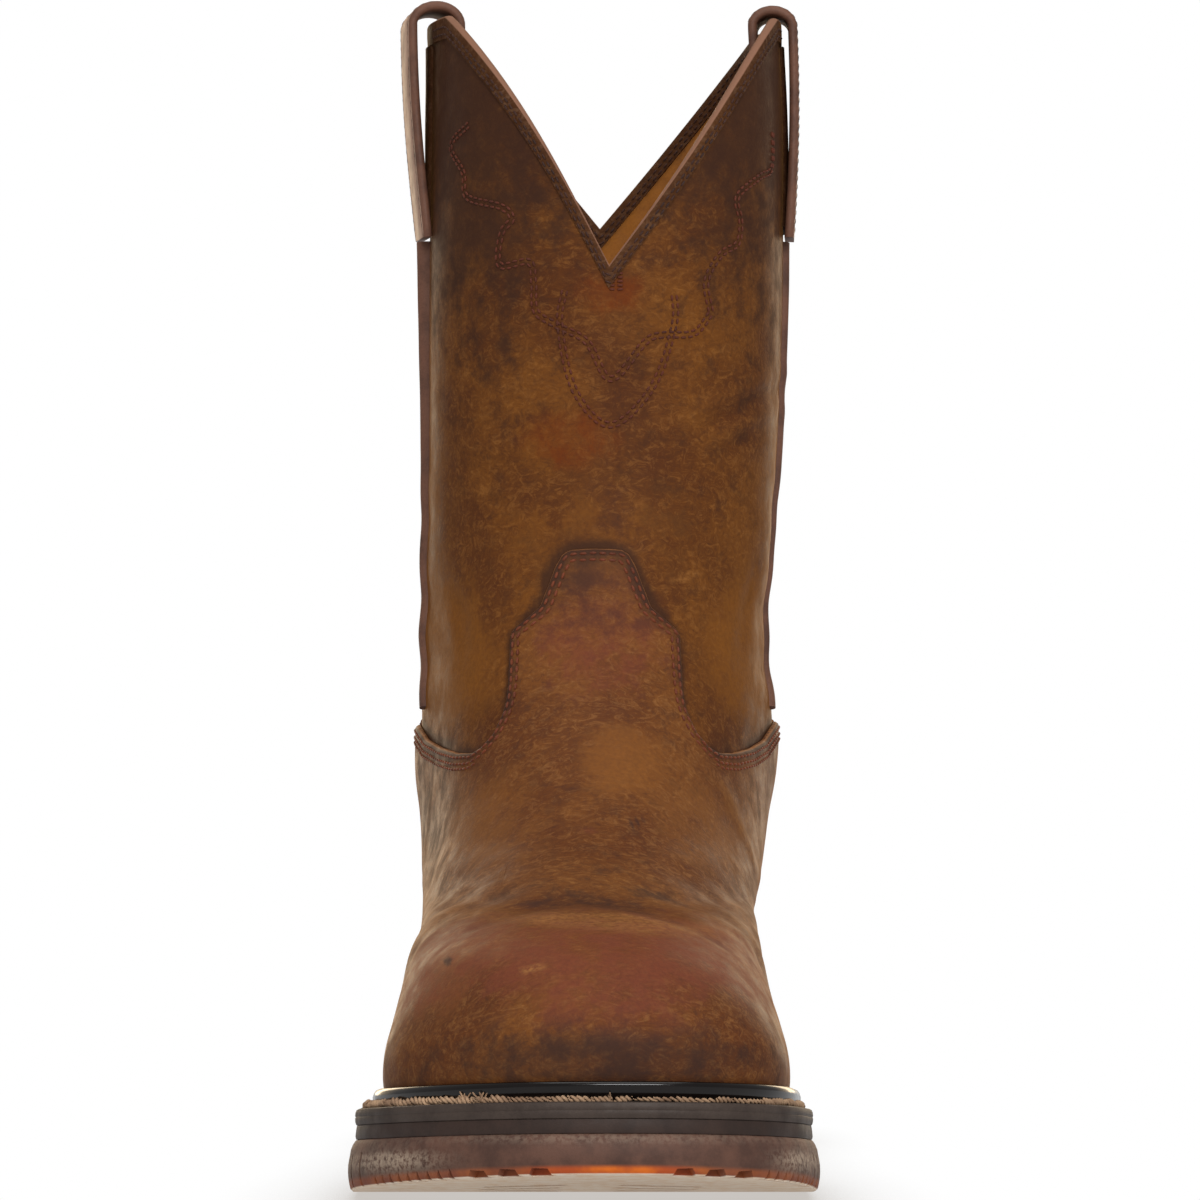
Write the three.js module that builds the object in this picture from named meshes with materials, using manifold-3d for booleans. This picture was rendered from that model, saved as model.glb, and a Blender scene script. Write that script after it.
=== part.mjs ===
// A roper work boot for the right foot, empty and standing on its sole.
// Millimetres, +Z up. The toe points to -Y and the medial side of the foot to +X.
// The origin is on the floor, at the centre of the heel's tread.
import * as THREE from "three";
import { mergeVertices } from "three/addons/utils/BufferGeometryUtils.js";
import Module from "manifold-3d";

const { clamp, degToRad, lerp, mapLinear } = THREE.MathUtils;

const wasm = await Module();
wasm.setup();

// The last and the shaft.
const LAST_LENGTH = 288; // heel point to toe point of the upper
const LAST_BACK_Y = 36; // the heel point, behind the origin
const BALL_WIDTH = 98; // across the upper at the ball, under the vamp
const ANKLE_FRONT_HEIGHT = 156; // where the instep turns into the shaft
const ANKLE_BACK_HEIGHT = 118;
const SHAFT_WIDTH = 100;
const SHAFT_DEPTH = 128;
const SHAFT_CENTRE_Y = -10;
const WING_HEIGHT = 309; // top of the collar at the sides
const FRONT_DIP_HEIGHT = 239;
const BACK_DIP_HEIGHT = 256;
const WING_SPREAD = 45; // sideways from a dip to the top of a wing
const WING_BULGE = { lateral: 0.07, medial: -0.04 }; // how the front edge bows, as a share of its rise
const SHAFT_OFFSET = -0.5; // of the shaft's foot, towards the medial side
const SHAFT_LEAN = 2.2; // the shaft's top, towards the medial side
const SHAFT_TWIST = degToRad(1.3);

// Leather and clearances.
const WALL = 2.4; // shaft leather with its lining
const OVERLAY = 1.5; // vamp and counter leather
const GAP = 0.3; // between pieces that touch

// The bottom: heel, outsole, midsole and welt.
const BALL_STACK = 21.2; // floor to the top of the welt at the ball
const HEEL_LIFT = 18.8; // how much higher the welt is over the heel
const TOE_LIFT = 10.4; // how much higher the welt is at the toe
const TOE_TAPER = 3.9; // how much thinner the outsole is at the toe
const WELT_THICKNESS = 4.1;
const MIDSOLE_THICKNESS = 2.9;
const SHANK_THICKNESS = 6.6; // outsole under the arch and over the heel
const TOE_ROLL_Y = -151; // where the sole leaves the floor
const TOE_ROLL_LENGTH = 106;
const TOE_ROLL_CURVE = 1.35;
const ARCH_FRONT_Y = -106;
const ARCH_BACK_Y = 8;
const THIN_BACK_Y = -66; // where the outsole has thinned to the shank
const HEEL_BREAST_Y = -37;
const WELT_MARGIN = 6.9; // welt edge beyond the vamp
const OUTSOLE_MARGIN = 9;
const SOLE_BIAS = 0.8; // how much further the sole stands out on the lateral side than in the middle
const WELT_INSET = 9; // welt's inner edge, inside the vamp's foot
const INSOLE_THICKNESS = 3;

// The glossy rand round the foot of the upper.
const RAND_WIDTH = 3.6;
const RAND_HEIGHT = 4.6;

// Tread.
const LUG_DEPTH = 3.4;
const LUG_PITCH = 9.2;
const NOTCH_WIDTH = 4.4;
const NOTCH_RUN = 9; // how far a notch reaches in from the edge
const TOE_BUMPER = 30; // plain rubber at the tip of the toe
const NOTCHED_EDGE = 105; // how far round the edge the notches run, from the tip of the toe
const CHANNEL_WIDTH = 2.6;
const CHANNEL_INSET = 13;
const BAR_GROOVE = 3.2;
const BAR_LENGTH = 25;
const BAR_SPLIT = 8; // plain strip between the left and the right grooves
const TREAD_FRONT_Y = -216; // the foremost groove
const BAR_PITCH = 12.5;
const BAR_ANGLE = degToRad(24);
const SLOT_WIDTH = 1.4; // upright slots in the side of the forefoot
const SLOT_DEPTH = 2;
const SLOT_HEIGHT = 6.6;
const SLOT_PITCH = 9;
const SLOT_FIRST_Y = -186;
const SLOT_COUNT = 5;

// Heel.
const HEEL_GROOVES = 4;
const HEEL_GROOVE_LENGTH = 27;
const HEEL_TAPER = 2.2; // how far the heel draws in towards the floor
const HEEL_INSET = 1.2; // heel's top inside the edge of the outsole

// Collar binding, side piping and pull straps.
const BINDING_DEPTH = 5.5;
const BINDING_THICKNESS = 0.9;
const PIPING_WIDTH = 3.4;
const PIPING_FOOT_HEIGHT = 1.2; // how far the piping stands out at its foot
const LATERAL_PIPING_HEIGHT = 3.4; // and at its top, on either side
const MEDIAL_PIPING_HEIGHT = 1.5;
const STRAP_WIDTH = 25;
const STRAP_THICKNESS = 2.6;
const STRAP_FOOT_HEIGHT = 250;
const STRAP_INNER_HEIGHT = 266;
const LATERAL_STRAP_RISE = 6.1; // top of the loop above the collar
const MEDIAL_STRAP_RISE = 5;
const STRAP_INNER_SLACK = 2.1; // between the binding and the middle of the leg inside the shaft
const LATERAL_STRAP_BOW = 4.8; // how far a loop stands off the shaft
const MEDIAL_STRAP_BOW = 1.6;

// Mesh density.
const COLUMNS = 40;
const FOOT_ROWS = 15;
const SHAFT_ROWS = 6;

const smooth = (t) => {
  const s = clamp(t, 0, 1);
  return s * s * (3 - 2 * s);
};

// The height of the welt's top, which the foot of the upper follows.
const toeRoll = (y) => Math.max(0, (TOE_ROLL_Y - y) / TOE_ROLL_LENGTH) ** TOE_ROLL_CURVE;
const heelRise = (y) => smooth((y - ARCH_FRONT_Y) / (ARCH_BACK_Y - ARCH_FRONT_Y));
const weltTop = (y) => BALL_STACK + HEEL_LIFT * heelRise(y) + TOE_LIFT * toeRoll(y);
const outsoleTop = (y) => weltTop(y) - WELT_THICKNESS - MIDSOLE_THICKNESS - 2 * GAP;
const treadThickness = () => BALL_STACK - WELT_THICKNESS - MIDSOLE_THICKNESS - 2 * GAP;
const outsoleThickness = (y) => {
  const thin = smooth((y - ARCH_FRONT_Y) / (THIN_BACK_Y - ARCH_FRONT_Y));
  return lerp(treadThickness(), SHANK_THICKNESS, thin) - TOE_TAPER * toeRoll(y);
};
const outsoleBottom = (y) => outsoleTop(y) - outsoleThickness(y);

// Sections through the foot, from the feather line to the ankle. Each is a tilted loop from its
// front point to its back point. front and back are shares of the last's length from the heel
// point. frontRise and backRise are shares of the rise to the ankle. heel, waist and ball are half
// widths as shares of the ball width. nose and tail are the rounded ends as shares of the section,
// noseFull and tailFull how square they are. sag follows the welt.
const FOOT_SECTIONS = [
  {
    front: 0.983, frontRise: 0, back: 0.01, backRise: 0,
    heel: 0.335, lateral: 0.41, medial: 0.345, ball: 0.487,
    nose: 0.22, tail: 0.14, noseFull: 2.3, tailFull: 2.2, sag: 1,
  },
  {
    front: 0.997, frontRise: 0.047, back: 0.004, backRise: 0.065,
    heel: 0.345, lateral: 0.42, medial: 0.36, ball: 0.496,
    nose: 0.22, tail: 0.14, noseFull: 2.3, tailFull: 2.2, sag: 0.85,
  },
  {
    front: 1, frontRise: 0.095, back: 0, backRise: 0.125,
    heel: 0.355, lateral: 0.43, medial: 0.375, ball: 0.491,
    nose: 0.23, tail: 0.15, noseFull: 2.3, tailFull: 2.2, sag: 0.7,
  },
  {
    front: 0.993, frontRise: 0.147, back: -0.004, backRise: 0.18,
    heel: 0.36, lateral: 0.436, medial: 0.385, ball: 0.472,
    nose: 0.25, tail: 0.155, noseFull: 2.3, tailFull: 2.2, sag: 0.55,
  },
  {
    front: 0.97, frontRise: 0.204, back: -0.006, backRise: 0.23,
    heel: 0.365, lateral: 0.44, medial: 0.39, ball: 0.451,
    nose: 0.28, tail: 0.16, noseFull: 2.3, tailFull: 2.2, sag: 0.4,
  },
  {
    front: 0.932, frontRise: 0.26, back: -0.006, backRise: 0.28,
    heel: 0.368, lateral: 0.446, medial: 0.395, ball: 0.436,
    nose: 0.32, tail: 0.17, noseFull: 2.3, tailFull: 2.2, sag: 0.28,
  },
  {
    front: 0.88, frontRise: 0.296, back: -0.004, backRise: 0.32,
    heel: 0.37, lateral: 0.45, medial: 0.4, ball: 0.425,
    nose: 0.37, tail: 0.185, noseFull: 2.25, tailFull: 2.2, sag: 0.18,
  },
  {
    front: 0.815, frontRise: 0.318, back: -0.002, backRise: 0.36,
    heel: 0.373, lateral: 0.459, medial: 0.407, ball: 0.42,
    nose: 0.43, tail: 0.2, noseFull: 2.2, tailFull: 2.2, sag: 0.1,
  },
  {
    front: 0.745, frontRise: 0.336, back: 0, backRise: 0.4,
    heel: 0.376, lateral: 0.465, medial: 0.417, ball: 0.424,
    nose: 0.48, tail: 0.22, noseFull: 2.1, tailFull: 2.2, sag: 0.05,
  },
  {
    front: 0.675, frontRise: 0.389, back: 0.003, backRise: 0.44,
    heel: 0.378, lateral: 0.471, medial: 0.43, ball: 0.43,
    nose: 0.52, tail: 0.245, noseFull: 2.1, tailFull: 2.2, sag: 0,
  },
  {
    front: 0.605, frontRise: 0.469, back: 0.007, backRise: 0.49,
    heel: 0.381, lateral: 0.475, medial: 0.445, ball: 0.435,
    nose: 0.55, tail: 0.27, noseFull: 2.1, tailFull: 2.2, sag: 0,
  },
  {
    front: 0.54, frontRise: 0.574, back: 0.012, backRise: 0.565,
    heel: 0.388, lateral: 0.483, medial: 0.46, ball: 0.445,
    nose: 0.56, tail: 0.31, noseFull: 2.1, tailFull: 2.2, sag: 0,
  },
  {
    front: 0.48, frontRise: 0.702, back: 0.018, backRise: 0.667,
    heel: 0.402, lateral: 0.498, medial: 0.482, ball: 0.458,
    nose: 0.55, tail: 0.36, noseFull: 2.15, tailFull: 2.2, sag: 0,
  },
  {
    front: 0.432, frontRise: 0.85, back: 0.023, backRise: 0.81,
    heel: 0.414, lateral: 0.498, medial: 0.488, ball: 0.465,
    nose: 0.53, tail: 0.41, noseFull: 2.2, tailFull: 2.2, sag: 0,
  },
  {
    front: 0.402, frontRise: 1, back: 0.022, backRise: 1,
    heel: 0.424, lateral: 0.498, medial: 0.462, ball: 0.462,
    nose: 0.5, tail: 0.46, noseFull: 2.2, tailFull: 2.2, sag: 0,
  },
];

// Sections through the shaft. front and back are shares of its depth from its centre, the rises
// shares of the way from the ankle to the top of the wings, and the half widths shares of the
// shaft's width.
const SHAFT_SECTIONS = [
  {
    front: 0.508, frontRise: 0.131, back: 0.328, backRise: 0.105,
    heel: 0.45, lateral: 0.484, medial: 0.457, ball: 0.47,
  },
  {
    front: 0.492, frontRise: 0.275, back: 0.359, backRise: 0.246,
    heel: 0.465, lateral: 0.474, medial: 0.478, ball: 0.478,
  },
  {
    front: 0.484, frontRise: 0.451, back: 0.398, backRise: 0.429,
    heel: 0.473, lateral: 0.478, medial: 0.494, ball: 0.484,
  },
  {
    front: 0.484, frontRise: 0.647, back: 0.4375, backRise: 0.623,
    heel: 0.48, lateral: 0.484, medial: 0.5, ball: 0.487,
  },
  {
    front: 0.492, frontRise: 0.843, back: 0.469, backRise: 0.832,
    heel: 0.482, lateral: 0.489, medial: 0.492, ball: 0.485,
  },
  {
    front: 0.5, frontRise: 1.046, back: 0.492, backRise: 1.037,
    heel: 0.476, lateral: 0.492, medial: 0.472, ball: 0.475,
  },
];
const SHAFT_ENDS = { nose: 0.5, tail: 0.5, noseFull: 2.25, tailFull: 2.25, sag: 0 };

// How far the middle of the last swings sideways, by share of its length: the ball bulges to the
// lateral side.
const SWING = [
  { at: 0, off: 0 },
  { at: 0.3, off: -0.005 },
  { at: 0.55, off: -0.025 },
  { at: 0.68, off: -0.038 },
  { at: 0.82, off: -0.033 },
  { at: 1, off: 0.032 },
];

// The ends of the feather line, where the upper meets the welt.
const TOE_FEATHER_Y = LAST_BACK_Y - FOOT_SECTIONS[0].front * LAST_LENGTH;
const HEEL_FEATHER_Y = LAST_BACK_Y - FOOT_SECTIONS[0].back * LAST_LENGTH;
const TOE_FEATHER = weltTop(TOE_FEATHER_Y) + GAP;
const HEEL_FEATHER = weltTop(HEEL_FEATHER_Y) + GAP;

const section = (row) => ({
  ...row,
  frontY: LAST_BACK_Y - row.front * LAST_LENGTH,
  frontZ: lerp(TOE_FEATHER, ANKLE_FRONT_HEIGHT, row.frontRise),
  backY: LAST_BACK_Y - row.back * LAST_LENGTH,
  backZ: lerp(HEEL_FEATHER, ANKLE_BACK_HEIGHT, row.backRise),
  width: BALL_WIDTH,
  shaft: 0,
});
const shaftSection = (row) => ({
  ...row,
  ...SHAFT_ENDS,
  frontY: SHAFT_CENTRE_Y - row.front * SHAFT_DEPTH,
  frontZ: lerp(ANKLE_FRONT_HEIGHT, WING_HEIGHT, row.frontRise),
  backY: SHAFT_CENTRE_Y + row.back * SHAFT_DEPTH,
  backZ: lerp(ANKLE_BACK_HEIGHT, WING_HEIGHT, row.backRise),
  width: SHAFT_WIDTH,
  shaft: 1,
});
const SECTIONS = [...FOOT_SECTIONS.map(section), ...SHAFT_SECTIONS.map(shaftSection)];
const ANKLE = FOOT_SECTIONS.length - 1; // the level of the ankle's section
const TOP = SECTIONS.length - 1;

// A smooth curve through four neighbouring values.
const blend = (p0, p1, p2, p3, t) => {
  const square = 2 * p0 - 5 * p1 + 4 * p2 - p3;
  const cube = 3 * p1 - p0 - 3 * p2 + p3;
  return 0.5 * (2 * p1 + (p2 - p0) * t + square * t * t + cube * t ** 3);
};

const between = (rows, level, key) => {
  const i = Math.min(Math.floor(level), rows.length - 2);
  const at = (n) => rows[clamp(n, 0, rows.length - 1)][key];
  return blend(at(i - 1), at(i), at(i + 1), at(i + 2), level - i);
};

const swing = (y) => {
  const share = clamp((LAST_BACK_Y - y) / LAST_LENGTH, 0, 1);
  const i = Math.min(SWING.length - 2, SWING.findLastIndex((s) => s.at <= share));
  const t = (share - SWING[i].at) / (SWING[i + 1].at - SWING[i].at);
  return BALL_WIDTH * lerp(SWING[i].off, SWING[i + 1].off, smooth(t));
};

// The rounded ends of a section: 1 along its middle, 0 at its tips.
const rounding = (share, nose, tail, noseFull, tailFull) => {
  const ahead = Math.max(0, (share - 1 + nose) / nose);
  const behind = Math.max(0, (tail - share) / tail);
  const front = Math.max(0, 1 - ahead ** noseFull) ** (1 / noseFull);
  return front * Math.max(0, 1 - behind ** tailFull) ** (1 / tailFull);
};

const HEEL_STATION = 0.14;
const WAIST_STATION = 0.42;
const BALL_STATION = 0.7;
const halfWidth = (share, heel, waist, ball) =>
  share < WAIST_STATION
    ? lerp(heel, waist, smooth((share - HEEL_STATION) / (WAIST_STATION - HEEL_STATION)))
    : lerp(waist, ball, smooth((share - WAIST_STATION) / (BALL_STATION - WAIST_STATION)));

// A point of the upper's outer face. around runs from the front (0) by the lateral side (0.25) to
// the back (0.5) and on by the medial side. level counts sections from the feather line up.
const formPoint = (around, level) => {
  const get = (key) => between(SECTIONS, level, key);
  const angle = around * 2 * Math.PI;
  const share = (1 + Math.cos(angle)) / 2;
  const side = Math.sin(angle) >= 0 ? -1 : 1;
  const y = lerp(get("backY"), get("frontY"), share);
  const chord = mapLinear(y, HEEL_FEATHER_Y, TOE_FEATHER_Y, HEEL_FEATHER, TOE_FEATHER);
  const z = lerp(get("backZ"), get("frontZ"), share) + get("sag") * (weltTop(y) + GAP - chord);
  const waist = get(side < 0 ? "lateral" : "medial");
  const half = get("width") * halfWidth(share, get("heel"), waist, get("ball"));
  const round = rounding(share, get("nose"), get("tail"), get("noseFull"), get("tailFull"));
  const shaft = get("shaft");
  const lean = SHAFT_LEAN * smooth((z - ANKLE_BACK_HEIGHT) / (WING_HEIGHT - ANKLE_BACK_HEIGHT));
  const twist = Math.tan(SHAFT_TWIST) * (SHAFT_CENTRE_Y - y);
  const middle = lerp(swing(y), lean + twist + SHAFT_OFFSET, shaft);
  return new THREE.Vector3(middle + side * half * round, y, z);
};

// The same point moved out of the leather (or in, if negative) square to the surface.
const STEP_AROUND = 0.004;
const STEP_LEVEL = 0.12;
const facePoint = (around, level, out = 0) => {
  const p = formPoint(around, level);
  if (!out) return p;
  const low = Math.max(0, level - STEP_LEVEL);
  const high = Math.min(TOP, level + STEP_LEVEL);
  const along = formPoint(around + STEP_AROUND, level).sub(formPoint(around - STEP_AROUND, level));
  const up = formPoint(around, high).sub(formPoint(around, low));
  return p.addScaledVector(up.cross(along).normalize(), out);
};

// The level at which the wall, or its face moved out, reaches a height that may depend on the place.
const levelAt = (around, heightAt, low = 0, high = TOP, out = 0) => {
  let [a, b] = [low, high];
  for (let i = 0; i < 30; i++) {
    const mid = (a + b) / 2;
    const p = facePoint(around, mid, out);
    if (p.z < heightAt(p, around, mid)) a = mid;
    else b = mid;
  }
  return (a + b) / 2;
};

// The scalloped collar: a V at the front and the back, and a wing with a pull strap on each side.
const collarHeight = (p, around, level) => {
  const atFront = Math.cos(around * 2 * Math.PI) >= 0;
  const dip = formPoint(atFront ? 0 : 0.5, level);
  const share = Math.min(1, Math.abs(p.x - dip.x) / WING_SPREAD);
  const bulge = atFront ? (p.x < dip.x ? WING_BULGE.lateral : WING_BULGE.medial) : 0;
  const low = atFront ? FRONT_DIP_HEIGHT : BACK_DIP_HEIGHT;
  return low + (WING_HEIGHT - low) * (share + bulge * Math.sin(Math.PI * share));
};
const collarLevel = (around) => levelAt(around, collarHeight, ANKLE);

// The vamp's top line, seen from the front: a tongue with shoulders, then a dip that rises to the
// side seams. off is a share of half the shaft's width, rise a share of the way from the lowest
// point to the tongue's top, and sideRise one from the lowest point to the side seams.
const VAMP_TOP_HEIGHT = 164;
const VAMP_LOW_HEIGHT = 109;
const SIDE_SEAM_HEIGHT = 117; // where vamp and counter meet under the piping
const VAMP_LINE = [
  { off: 0, rise: 1 },
  { off: 0.18, rise: 0.98 },
  { off: 0.22, rise: 0.91 },
  { off: 0.3, rise: 0.72 },
  { off: 0.46, rise: 0.6 },
  { off: 0.49, rise: 0.45 },
  { off: 0.52, rise: 0.3 },
  { off: 0.6, rise: 0.12 },
  { off: 0.74, sideRise: 0 },
  { off: 0.9, sideRise: 0.34 },
  { off: 1, sideRise: 0.82 },
];
const vampHeight = ({ rise, sideRise }) =>
  rise === undefined
    ? lerp(VAMP_LOW_HEIGHT, SIDE_SEAM_HEIGHT, sideRise)
    : lerp(VAMP_LOW_HEIGHT, VAMP_TOP_HEIGHT, rise);

// The counter's top line and the side seams, seen from the side.
const COUNTER_BACK_HEIGHT = 122;
const SEAM_TOP_Y = -14;
const SEAM_SLANT = 10; // how much further forward the seam is at its foot
const seamY = (z) => SEAM_TOP_Y - SEAM_SLANT * (1 - z / SIDE_SEAM_HEIGHT);

// A closed mesh from lists of corners and of triangles or quads, turned so that its faces point out.
const solidFrom = (corners, faces) => {
  const triangles = faces.flatMap((f) => (f.length === 3 ? [f] : [[f[0], f[1], f[2]], [f[0], f[2], f[3]]]));
  const under = ([a, b, c]) => corners[a].dot(corners[b].clone().cross(corners[c]));
  const volume = triangles.reduce((sum, triangle) => sum + under(triangle), 0);
  if (volume < 0) triangles.forEach((t) => t.reverse());
  const geometry = new THREE.BufferGeometry().setFromPoints(corners);
  geometry.setIndex(triangles.flat());
  return geometry;
};

// A wall between an outer and an inner grid of points, rows of equal length. wrap closes each row
// on itself, and loop joins the last row to the first.
const wallSolid = (outer, inner, wrap, loop = false) => {
  const rows = outer.length;
  const count = outer[0].length;
  const corners = [...outer.flat(), ...inner.flat()];
  const id = (skin, r, c) => skin * rows * count + (r % rows) * count + (c % count);
  const faces = [];
  for (let r = 0; r < (loop ? rows : rows - 1); r++)
    for (let c = 0; c < (wrap ? count : count - 1); c++)
      for (const skin of [0, 1]) {
        const quad = [id(skin, r, c), id(skin, r, c + 1), id(skin, r + 1, c + 1), id(skin, r + 1, c)];
        faces.push(skin ? [quad[0], quad[3], quad[2], quad[1]] : quad);
      }
  const rim = (a, b, flip) => {
    const quad = [id(0, ...a), id(0, ...b), id(1, ...b), id(1, ...a)];
    faces.push(flip ? quad : quad.reverse());
  };
  if (!loop)
    for (let c = 0; c < (wrap ? count : count - 1); c++) {
      rim([0, c], [0, c + 1], false);
      rim([rows - 1, c], [rows - 1, c + 1], true);
    }
  if (!wrap)
    for (let r = 0; r < (loop ? rows : rows - 1); r++) {
      rim([r, 0], [r + 1, 0], true);
      rim([r, count - 1], [r + 1, count - 1], false);
    }
  return solidFrom(corners, faces);
};

// A solid from closed rings, one above the other, each the same outline walked from the toe round
// and back, with its top and bottom closed by strips across the foot.
const plateSolid = (rings) => {
  const count = rings[0].length;
  const faces = [];
  for (let r = 0; r < rings.length - 1; r++)
    for (let c = 0; c < count; c++) {
      const d = (c + 1) % count;
      faces.push([r * count + c, r * count + d, (r + 1) * count + d, (r + 1) * count + c]);
    }
  for (const r of [0, rings.length - 1])
    for (let c = 0; c < count / 2; c++) {
      const quad = [c, c + 1, count - 1 - c, count - c].map((n) => r * count + (n % count));
      const strip = [...new Set(quad)];
      faces.push(r ? strip : strip.reverse());
    }
  return solidFrom(rings.flat(), faces);
};

const range = (count, from, to) => Array.from({ length: count + 1 }, (_, i) => lerp(from, to, i / count));
const AROUND = range(COLUMNS, 0, 1).slice(0, -1);

// Booleans. REACH is larger than the boot.
const REACH = 400;
const toSolid = (geometry) => {
  const bare = geometry.index ? geometry.toNonIndexed() : geometry.clone();
  bare.deleteAttribute("normal");
  bare.deleteAttribute("uv");
  const merged = mergeVertices(bare, 1e-4);
  return new wasm.Manifold(
    new wasm.Mesh({
      numProp: 3,
      vertProperties: new Float32Array(merged.attributes.position.array),
      triVerts: new Uint32Array(merged.index.array),
    }),
  );
};
const toGeometry = (solid) => {
  const mesh = solid.getMesh();
  return new THREE.BufferGeometry()
    .setAttribute("position", new THREE.BufferAttribute(new Float32Array(mesh.vertProperties), 3))
    .setIndex(new THREE.BufferAttribute(new Uint32Array(mesh.triVerts), 1));
};
const cut = (geometry, cutters) =>
  toGeometry(cutters.reduce((solid, cutter) => solid.subtract(toSolid(cutter)), toSolid(geometry)));

// Outlines of the bottom in plan, a margin beyond the foot of the vamp.
const FOOT_LINE = AROUND.map((a) => facePoint(a, 0, GAP + OVERLAY));
const outline = (margin, heightAt) =>
  FOOT_LINE.map((p, i) => {
    const before = FOOT_LINE.at(i - 1);
    const after = FOOT_LINE[(i + 1) % COLUMNS];
    const along = new THREE.Vector2(after.x - before.x, after.y - before.y).normalize();
    const out = margin > 0 ? margin + SOLE_BIAS * Math.sin(2 * Math.PI * AROUND[i]) : margin;
    const x = p.x - along.y * out;
    const y = p.y + along.x * out;
    return new THREE.Vector3(x, y, heightAt(y));
  });

// The upper: one hollow wall from the feather line to the scalloped collar.
const upperLevels = (around) => [
  ...range(FOOT_ROWS, 0, ANKLE),
  ...range(SHAFT_ROWS, ANKLE, collarLevel(around)).slice(1),
];
const upperGrid = (out) => {
  const columns = AROUND.map((a) => upperLevels(a).map((level) => facePoint(a, level, out)));
  return columns[0].map((_, r) => columns.map((column) => column[r]));
};
const makeUpper = () => {
  const inner = upperGrid(-WALL);
  const outer = upperGrid(0);
  [...outer[0], ...inner[0]].forEach((p) => (p.z = weltTop(p.y) + GAP));
  return wallSolid(outer, inner, true);
};

// A region as wide as the boot, from its outline seen from the front or from the side.
const region = (points, seenFrom) => {
  const shape = new THREE.Shape(points.map(([across, z]) => new THREE.Vector2(across, z)));
  const prism = new THREE.ExtrudeGeometry(shape, { depth: 2 * REACH, bevelEnabled: false, steps: 1 });
  prism.translate(0, 0, -REACH);
  prism.rotateX(Math.PI / 2);
  return seenFrom === "front" ? prism : prism.rotateZ(Math.PI / 2);
};

// Vamp and counter are cut between two larger forms of the upper, so that they lie on it everywhere.
const overlayForm = () => {
  const inner = upperGrid(GAP);
  const outer = upperGrid(GAP + OVERLAY);
  [...outer[0], ...inner[0]].forEach((p) => (p.z = weltTop(p.y) + GAP));
  return toSolid(wallSolid(outer, inner, true));
};
const makeVamp = () => {
  const middle = formPoint(0, ANKLE).x;
  const line = VAMP_LINE.map((row) => [(row.off * SHAFT_WIDTH) / 2, vampHeight(row)]);
  const half = line.slice(1).map(([off, z]) => [middle + off, z]);
  const other = line.map(([off, z]) => [middle - off, z]).reverse();
  const end = SIDE_SEAM_HEIGHT;
  const below = [[-REACH, end], [-REACH, 0], [REACH, 0], [REACH, end]];
  const front = [...below, ...half.reverse(), ...other.reverse()];
  const side = [[-REACH, 0], [seamY(0), 0], [seamY(REACH), REACH], [-REACH, REACH]];
  return toGeometry(
    overlayForm().intersect(toSolid(region(front, "front"))).intersect(toSolid(region(side, "side"))),
  );
};
const makeCounter = () => {
  const back = LAST_BACK_Y + OUTSOLE_MARGIN;
  const top = SIDE_SEAM_HEIGHT;
  const side = [[seamY(0) + GAP, 0], [back, 0], [back, COUNTER_BACK_HEIGHT], [seamY(top) + GAP, top]];
  return toGeometry(overlayForm().intersect(toSolid(region(side, "side"))));
};

// The collar's binding: a strip folded over the edge.
const makeBinding = () => {
  const out = GAP + BINDING_THICKNESS;
  const columns = AROUND.map((a) => {
    const top = collarLevel(a);
    const low = levelAt(a, (p, around, level) => collarHeight(p, around, level) - BINDING_DEPTH, ANKLE);
    const lift = (p, by) => p.setZ(p.z + by);
    const outer = [
      facePoint(a, low, out),
      lift(facePoint(a, top, out), out * 0.8),
      lift(facePoint(a, top, -WALL - out), out * 0.8),
      facePoint(a, low, -WALL - out),
    ];
    const inner = [
      facePoint(a, low, GAP),
      lift(facePoint(a, top, GAP), GAP),
      lift(facePoint(a, top, -WALL - GAP), GAP),
      facePoint(a, low, -WALL - GAP),
    ];
    return { outer, inner };
  });
  const rows = (skin) => columns[0][skin].map((_, r) => columns.map((column) => column[skin][r]));
  return wallSolid(rows("outer"), rows("inner"), true);
};

// Piping over a side seam of the shaft, from the strap's foot down to the vamp.
const makePiping = (around, topHeight) => {
  const low = levelAt(around, () => SIDE_SEAM_HEIGHT + PIPING_WIDTH);
  const high = levelAt(around, () => STRAP_FOOT_HEIGHT - 1);
  const half = PIPING_WIDTH / 2 / (Math.PI * SHAFT_WIDTH);
  const place = [-1, -0.4, 0.4, 1].map((s) => around + s * half);
  const levels = range(12, low, high);
  const height = (r) => lerp(PIPING_FOOT_HEIGHT, topHeight, (r / (levels.length - 1)) ** 2);
  const grid = (shares) =>
    levels.map((level, r) => place.map((a, i) => facePoint(a, level, GAP + shares[i] * height(r))));
  return wallSolid(grid([0.4, 1, 1, 0.4]), grid([0, 0, 0, 0]), false);
};

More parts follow.
